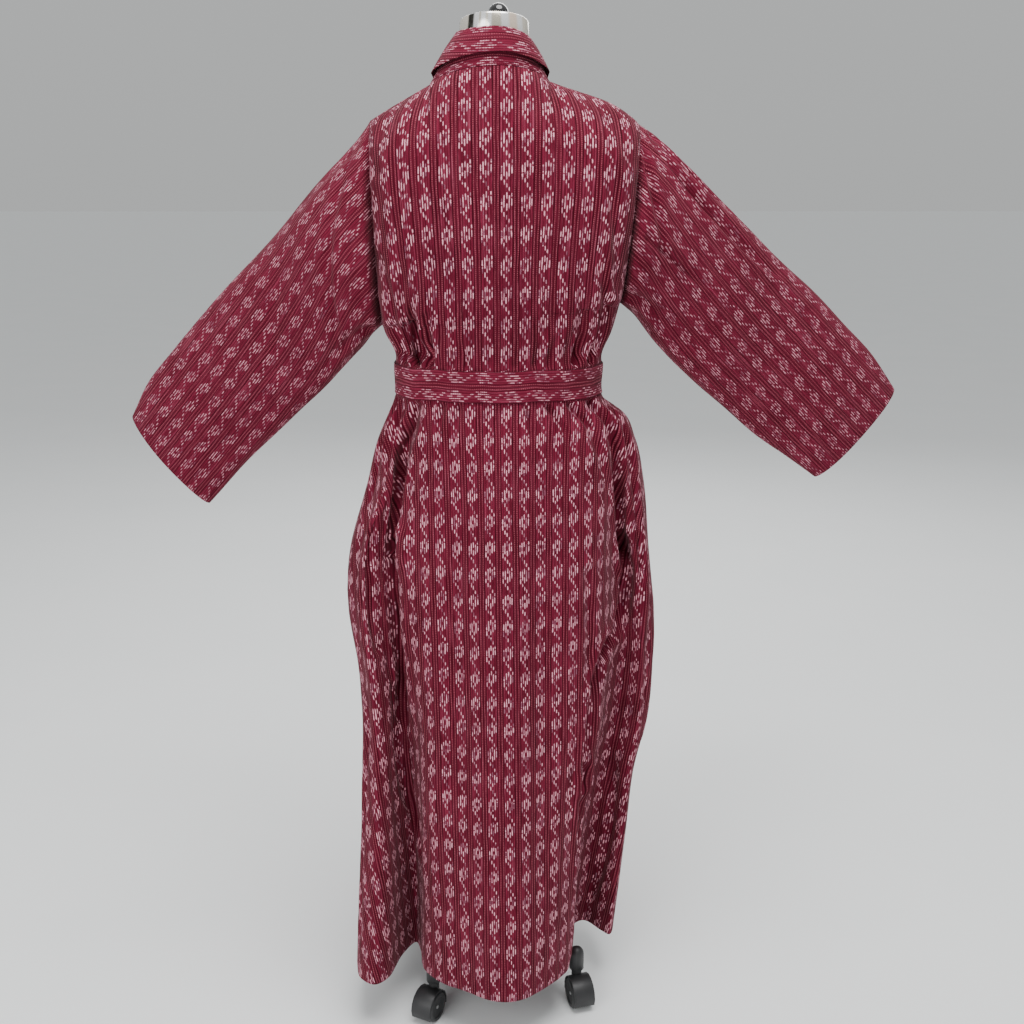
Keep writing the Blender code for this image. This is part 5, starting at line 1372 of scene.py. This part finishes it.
class Nodes:
    """A short way to write a material's nodes."""

    def __init__(self, name):
        """An empty material with its shader."""
        self.material = bpy.data.materials.new(name)
        self.material.use_nodes = True
        self.tree = self.material.node_tree
        self.shader = self.tree.nodes["Principled BSDF"]

    def add(self, kind, **settings):
        """A node with its settings."""
        node = self.tree.nodes.new(kind)
        for key, value in settings.items():
            setattr(node, key, value)
        return node

    def join(self, value, socket):
        """Put a number, a colour or another node's output on a socket."""
        if isinstance(value, bpy.types.NodeSocket):
            self.tree.links.new(value, socket)
        else:
            socket.default_value = value

    def math(self, operation, *values, clamp=False):
        """One step of arithmetic."""
        node = self.add("ShaderNodeMath", operation=operation, use_clamp=clamp)
        for value, socket in zip(values, node.inputs):
            self.join(value, socket)
        return node.outputs[0]

    def times(self, first, second):
        """A product."""
        return self.math("MULTIPLY", first, second)

    def line(self, value, slope, level, clamp=True):
        """value * slope + level, kept between 0 and 1."""
        return self.math("MULTIPLY_ADD", value, slope, level, clamp=clamp)

    def spread(self, value, size):
        """A value between 0 and 1 turned into one that lies round 0 and spans a size."""
        return self.line(value, size, -0.5 * size, clamp=False)

    def away(self, value, place):
        """Distance of a value from a place."""
        return self.math("ABSOLUTE", self.math("SUBTRACT", value, place))

    def cell(self, value, cells):
        """Number of the cell that a value lies in."""
        return self.math("FLOOR", self.times(value, cells))

    def wave(self, value, length):
        """A sine of a wave length."""
        return self.math("SINE", self.times(value, 2.0 * math.pi / length))

    def mix(self, share, first, second):
        """A colour between two."""
        node = self.add("ShaderNodeMix", data_type="RGBA")
        self.join(share, node.inputs["Factor"])
        for colour, socket in ((first, "A"), (second, "B")):
            plain = not isinstance(colour, bpy.types.NodeSocket)
            self.join((*colour, 1.0) if plain else colour, node.inputs[socket])
        return node.outputs["Result"]

    def place(self):
        """Place on the object."""
        return self.add("ShaderNodeTexCoord").outputs["Object"]

    def split(self, place):
        """The three parts of a place."""
        node = self.add("ShaderNodeSeparateXYZ")
        self.join(place, node.inputs[0])
        return node.outputs

    def noise(self, place, scale, detail=2.0):
        """Soft noise between 0 and 1."""
        node = self.add("ShaderNodeTexNoise")
        self.join(place, node.inputs["Vector"])
        node.inputs["Scale"].default_value = scale
        node.inputs["Detail"].default_value = detail
        return node.outputs["Fac"]

    def streaks(self, place, across, along, detail=2.0):
        """Noise with different numbers of waves to a metre across and along."""
        node = self.add("ShaderNodeMapping")
        self.join(place, node.inputs["Vector"])
        node.inputs["Scale"].default_value = (across, along, 1.0)
        return self.noise(node.outputs[0], 1.0, detail)

    def speck(self, first, second):
        """A number between 0 and 1 that differs from cell to cell."""
        cell = self.add("ShaderNodeCombineXYZ")
        self.join(first, cell.inputs[0])
        self.join(second, cell.inputs[1])
        node = self.add("ShaderNodeTexWhiteNoise", noise_dimensions="2D")
        self.join(cell.outputs[0], node.inputs["Vector"])
        return node.outputs["Value"]

    def strongest(self, values):
        """The largest of several values."""
        values = list(values)
        largest = values[0]
        for value in values[1:]:
            largest = self.math("MAXIMUM", largest, value)
        return largest

    def lines_at(self, column, places, fade):
        """Thin lines along the cloth at places across the repeat."""
        return self.strongest(self.line(self.away(column, place), *fade) for place in places)

    def ramp(self, value, stops):
        """A colour by a value: the first stop is at 0."""
        node = self.add("ShaderNodeValToRGB")
        self.join(value, node.inputs[0])
        elements = node.color_ramp.elements
        elements.remove(elements[1])
        elements[0].position = 0.0
        elements[0].color = (*stops[0][1], 1.0)
        for place, colour in stops[1:]:
            elements.new(place).color = (*colour, 1.0)
        return node.outputs[0]

    def dashes(self, value, spans, soft):
        """1 inside the spans, 0 outside."""
        stops = [(0.0, 0.0)]
        for low, high in spans:
            ends = ((low - soft, 0.0), (low + soft, 1.0), (high - soft, 1.0), (high + soft, 0.0))
            stops += [(min(place, 1.0), level) for place, level in ends if place > 0.0]
        return self.ramp(value, [(place, (level,) * 3) for place, level in stops])

    def finish(self, values, height=None, distance=0.0, strength=0.0):
        """Put values on the shader and relief on its surface, and give the material."""
        for name, value in values.items():
            self.join(value, self.shader.inputs[name])
        if height is not None:
            node = self.add("ShaderNodeBump")
            node.inputs["Strength"].default_value = strength
            node.inputs["Distance"].default_value = distance
            self.join(height, node.inputs["Height"])
            self.join(node.outputs[0], self.shader.inputs["Normal"])
        return self.material


def make_weave(name, contrast, floats, gaps):
    """The robe's cloth: maroon, with flowers and links of pale floats between thin dotted stripes."""
    nodes = Nodes(name)
    uv = nodes.add("ShaderNodeUVMap", uv_map="weave").outputs[0]
    across, along, _ = nodes.split(uv)
    wander = nodes.spread(nodes.streaks(uv, *WANDER[:2]), WANDER[2])
    across_repeats = nodes.math("DIVIDE", nodes.math("ADD", across, wander), REPEAT[0])
    column = nodes.times(nodes.math("FRACT", across_repeats), REPEAT_COLUMNS)
    lane = nodes.cell(across_repeats, REPEAT_COLUMNS)
    slip = nodes.spread(nodes.speck(nodes.math("FLOOR", across_repeats), SLIP_SEED), REPEAT_SLIP)
    along_repeats = nodes.math("ADD", nodes.math("DIVIDE", along, REPEAT[1]), slip)
    slip = nodes.spread(nodes.speck(lane, nodes.cell(along_repeats, SLIP_CELLS)), THREAD_SLIP)
    row = nodes.math("FRACT", nodes.math("ADD", along_repeats, slip))
    dashes = []
    for place, spans in FLOATS:
        spans = [(low / REPEAT_ROWS, high / REPEAT_ROWS) for low, high in spans]
        float_line = nodes.line(nodes.away(column, place + 0.5), *FLOAT_FADE)
        dashes.append(nodes.times(nodes.dashes(row, spans, FLOAT_END), float_line))
    pale = nodes.strongest(dashes)
    stripes = nodes.lines_at(column, PINSTRIPES, PINSTRIPE_FADE)
    darks = nodes.lines_at(column, DARK_LINES, DARK_FADE)
    # Grooves between the thread columns: this mask sinks the relief and darkens the colour as painted shade
    groove_shade_and_relief = nodes.line(nodes.away(nodes.math("FRACT", column), 0.5), *GROOVE_FADE)
    streak = nodes.line(nodes.streaks(uv, *DARK_STREAKS[:2]), *DARK_STREAKS[2:])
    bright = nodes.line(nodes.streaks(uv, *BRIGHT_STREAKS[:2]), *BRIGHT_STREAKS[2:])
    fading = nodes.line(nodes.streaks(uv, *FADING[:2]), *FADING[2:])
    fleck = nodes.streaks(uv, *FLECKS, detail=1.0)
    cloud = nodes.line(nodes.noise(uv, *CLOUDS[:2]), *CLOUDS[2:])
    yarn = nodes.speck(lane, nodes.cell(along_repeats, YARN_CELLS))
    tone = nodes.speck(lane, nodes.cell(along_repeats, TONE_CELLS))
    base = nodes.mix(nodes.times(streak, STREAK_SHARE * contrast), MAROON, MAROON_DEEP)
    base = nodes.mix(nodes.times(bright, BRIGHT_SHARE), base, MAROON_LIGHT)
    # Painted shade in the grooves: the deep tone laid between the thread columns
    base = nodes.mix(nodes.times(groove_shade_and_relief, GROOVE_SHADE_SHARE * contrast), base, MAROON_DEEP)
    base = nodes.mix(nodes.times(tone, TONE_SHARE * contrast), base, MAROON_DEEP)
    base = nodes.mix(cloud, base, MAROON_DEEP)
    base = nodes.mix(nodes.times(nodes.times(darks, fading), contrast), base, WINE)
    dots = nodes.wave(along, DOT)
    dotted = nodes.times(nodes.line(fleck, *STRIPE_FLECKS), nodes.line(dots, *STRIPE_DOTS))
    base = nodes.mix(nodes.times(nodes.times(stripes, dotted), fading), base, ROSE)
    yarn = nodes.mix(nodes.line(yarn, *YARN), PALE_GREY, PALE)
    kept = nodes.line(dots, 0.5 * gaps * floats, (1.0 - 0.5 * gaps) * floats)
    share = nodes.times(nodes.times(pale, nodes.line(fleck, *FLOAT_FLECKS)), kept)
    colour = nodes.mix(share, base, yarn)
    height = nodes.math("ADD", pale, nodes.times(stripes, RELIEF["stripes"]))
    height = nodes.math("SUBTRACT", height, groove_shade_and_relief)
    height = nodes.math("SUBTRACT", height, nodes.times(streak, RELIEF["streaks"]))
    height = nodes.math("ADD", height, nodes.times(nodes.wave(along, WEFT), RELIEF["weft"]))
    surface = {"Base Color": colour, "Roughness": 0.88, "Sheen Weight": 0.06, "Specular IOR Level": 0.04}
    return nodes.finish(surface, height, RELIEF["height"], RELIEF["strength"])


def make_plastic():
    """Satin black plastic of the casters, the base and the pole: fine grain, pale scuffs."""
    nodes = Nodes("satin_plastic")
    place = nodes.place()
    grain = nodes.noise(place, scale=900.0, detail=3.0)
    scuffs = nodes.line(nodes.streaks(place, across=300.0, along=40.0), slope=3.0, level=-1.9)
    base = nodes.mix(nodes.noise(place, scale=60.0, detail=3.0), *PLASTIC_TONES)
    base = nodes.mix(nodes.times(scuffs, SCUFF_SHARE), base, SCUFF_TONE)
    height = nodes.math("ADD", grain, nodes.times(scuffs, SCUFF_RELIEF))
    surface = {"Base Color": base, "Roughness": nodes.line(grain, slope=0.25, level=0.34)}
    return nodes.finish(surface, height, distance=0.00012, strength=0.5)


def make_gloss():
    """Glossy black of the knob, with a few fine scratches."""
    nodes = Nodes("gloss_black")
    place = nodes.place()
    haze = nodes.noise(place, scale=80.0, detail=3.0)
    scratches = nodes.streaks(place, across=2500.0, along=120.0, detail=1.0)
    surface = {"Base Color": nodes.mix(haze, *GLOSS_TONES), "Coat Weight": 0.6, "Coat Roughness": 0.05,
               "Roughness": nodes.line(haze, slope=0.10, level=0.06)}
    return nodes.finish(surface, nodes.line(scratches, slope=4.0, level=-2.4), distance=0.00003, strength=0.3)


def make_chrome():
    """Polished warm plating of the neck cap, with painted reflections in bands round it, streaked from top to
    bottom.
    """
    nodes = Nodes("chrome_painted_reflections")
    place = nodes.place()
    low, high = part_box("neck_cap")
    middle = 0.5 * (low + high)
    x, y, _ = nodes.split(place)
    angle = nodes.math("ARCTAN2", nodes.away(y, middle[1]), nodes.math("SUBTRACT", x, middle[0]))
    sway = nodes.spread(nodes.streaks(place, across=30.0, along=30.0), size=0.04)
    turn = nodes.math("ADD", nodes.math("DIVIDE", angle, math.pi), sway)
    # Painted reflections: tones by the angle round the cap
    reflection_bands = nodes.ramp(turn, [(degrees / 180.0, PAINTED_REFLECTION_TONES[tone]) for degrees, tone in PAINTED_REFLECTION_BANDS])
    cloud = nodes.noise(place, scale=90.0)
    fine = nodes.streaks(place, across=500.0, along=500.0, detail=1.0)
    colour = nodes.mix(nodes.line(cloud, slope=0.6, level=-0.30), reflection_bands, PAINTED_REFLECTION_TONES["beige"])
    surface = {"Base Color": colour, "Metallic": 0.8, "Roughness": nodes.line(fine, slope=0.08, level=0.12)}
    return nodes.finish(surface, cloud, distance=0.0006, strength=0.2)


def make_steel():
    """Brushed steel of the axles."""
    nodes = Nodes("axle_steel")
    brushed = nodes.streaks(nodes.place(), across=200.0, along=3000.0)
    surface = {"Base Color": nodes.mix(brushed, *STEEL_TONES), "Metallic": 1.0,
               "Roughness": nodes.line(brushed, slope=0.25, level=0.25)}
    return nodes.finish(surface, brushed, distance=0.00005, strength=0.4)


def make_cover():
    """The form's cover: fine pale jersey."""
    nodes = Nodes("form_jersey")
    place = nodes.place()
    rib = nodes.streaks(place, across=30.0, along=30.0, detail=1.0)
    rib = nodes.math("SINE", nodes.times(rib, RIBS))
    knit = nodes.noise(place, scale=1600.0, detail=1.0)
    cloud = nodes.noise(place, scale=9.0, detail=3.0)
    surface = {"Base Color": nodes.mix(cloud, *COVER_TONES), "Roughness": 0.9}
    height = nodes.math("ADD", knit, nodes.times(rib, RIB_RELIEF))
    return nodes.finish(surface, height, distance=0.0004, strength=0.6)


def make_hard_pieces():
    """Finer copies of the hard solids: edges rounded, round faces smooth."""
    materials = {"black_plastic": make_plastic(), "steel": make_steel(), "chrome": make_chrome(),
                 "black_gloss": make_gloss(), "form_cover": make_cover()}
    pieces = list(FORM_PIECES)
    for number in "1234":
        for node, body, *others in CASTER_PIECES:
            pieces.append((node.replace("#", number), body.replace("#", number), *others))
    for node, body, slot_name, edge_width in pieces:
        form = bmesh.new()
        form.from_mesh(bpy.data.objects[node].data)
        bmesh.ops.remove_doubles(form, verts=form.verts, dist=WELD)
        bmesh.ops.dissolve_limit(form, angle_limit=FLAT_ANGLE, verts=form.verts, edges=form.edges)
        edges = [edge for edge in form.edges if len(edge.link_faces) == 2]
        sharp = [edge for edge in edges if edge.calc_face_angle() > SHARP_ANGLE]
        if edge_width:
            bmesh.ops.bevel(form, geom=sharp, offset=edge_width, segments=2, profile=0.5, affect="EDGES",
                            clamp_overlap=True)
        mesh = bpy.data.meshes.new(node + "_finished")
        form.to_mesh(mesh)
        form.free()
        mesh.shade_smooth()
        mesh.set_sharp_from_angle(angle=SHARP_ANGLE)
        mesh.materials.append(materials[slot_name])
        set_in_place(add_object(node + "_finished", mesh), body, node)


def make_floor():
    """The pale floor."""
    nodes = Nodes("floor")
    colour = nodes.mix(nodes.noise(nodes.place(), scale=3.0), *FLOOR_TONES)
    mesh = bpy.data.meshes.new("floor")
    corners = [(x * FLOOR_REACH, y * FLOOR_REACH, 0.0) for x, y in ((-1, -1), (1, -1), (1, 1), (-1, 1))]
    mesh.from_pydata(corners, [], [(0, 1, 2, 3)])
    mesh.materials.append(nodes.finish({"Base Color": colour, "Roughness": 0.95, "Specular IOR Level": 0.1}))
    add_object("floor", mesh)


def make_sky():
    """Soft light from all round, brighter from above."""
    world = bpy.data.worlds.new("studio")
    bpy.context.scene.world = world
    world.use_nodes = True
    tree = world.node_tree
    height = tree.nodes.new("ShaderNodeSeparateXYZ")
    tree.links.new(tree.nodes.new("ShaderNodeTexCoord").outputs["Generated"], height.inputs[0])
    sky = tree.nodes.new("ShaderNodeMix")
    sky.data_type = "RGBA"
    sky.inputs["A"].default_value = SKY_LOW
    sky.inputs["B"].default_value = SKY_HIGH
    tree.links.new(height.outputs["Z"], sky.inputs["Factor"])
    background = tree.nodes["Background"]
    tree.links.new(sky.outputs["Result"], background.inputs["Color"])
    background.inputs["Strength"].default_value = SKY_STRENGTH


def make_lamps():
    """Large round lamps, turned towards the robe."""
    for name, place, size, power in LAMPS:
        light = bpy.data.lights.new(name, "AREA")
        light.shape = "DISK"
        light.size = size
        light.energy = power
        lamp = add_object(name, light)
        lamp.location = place
        x, y, z = np.array(LAMPS_AIM) - np.array(place)
        lamp.rotation_euler = (math.atan2(math.hypot(x, y), -z), 0.0, math.atan2(y, x) - 0.5 * math.pi)


def make_camera():
    """The camera at the photograph's viewing angle."""
    forward = np.array([math.sin(PAN) * math.cos(TILT), -math.cos(PAN) * math.cos(TILT), -math.sin(TILT)])
    right = np.array([-math.cos(PAN), -math.sin(PAN), 0.0])
    up = np.cross(right, forward)
    turn = Matrix(np.stack((right, up, -forward), axis=1).tolist()).to_4x4()
    data = bpy.data.cameras.new("camera")
    data.lens = LENS
    data.sensor_width = SENSOR
    camera = add_object("camera", data)
    camera.matrix_world = Matrix.Translation([float(value) for value in np.array(EYE) + SHIFT]) @ turn
    bpy.context.scene.camera = camera


def main():
    """The stage, the stand's hard pieces, then the robe."""
    make_floor()
    make_sky()
    make_lamps()
    make_camera()
    make_hard_pieces()
    weave, soft_weave = [make_weave(name, *looks) for name, looks in WEAVES.items()]
    body = make_body(weave)
    make_collar_stand(body, soft_weave)
    make_collar_fall(body, soft_weave)
    make_belt(soft_weave)
    make_tails(soft_weave)
    make_knot(soft_weave)
    make_sleeves(soft_weave)


main()
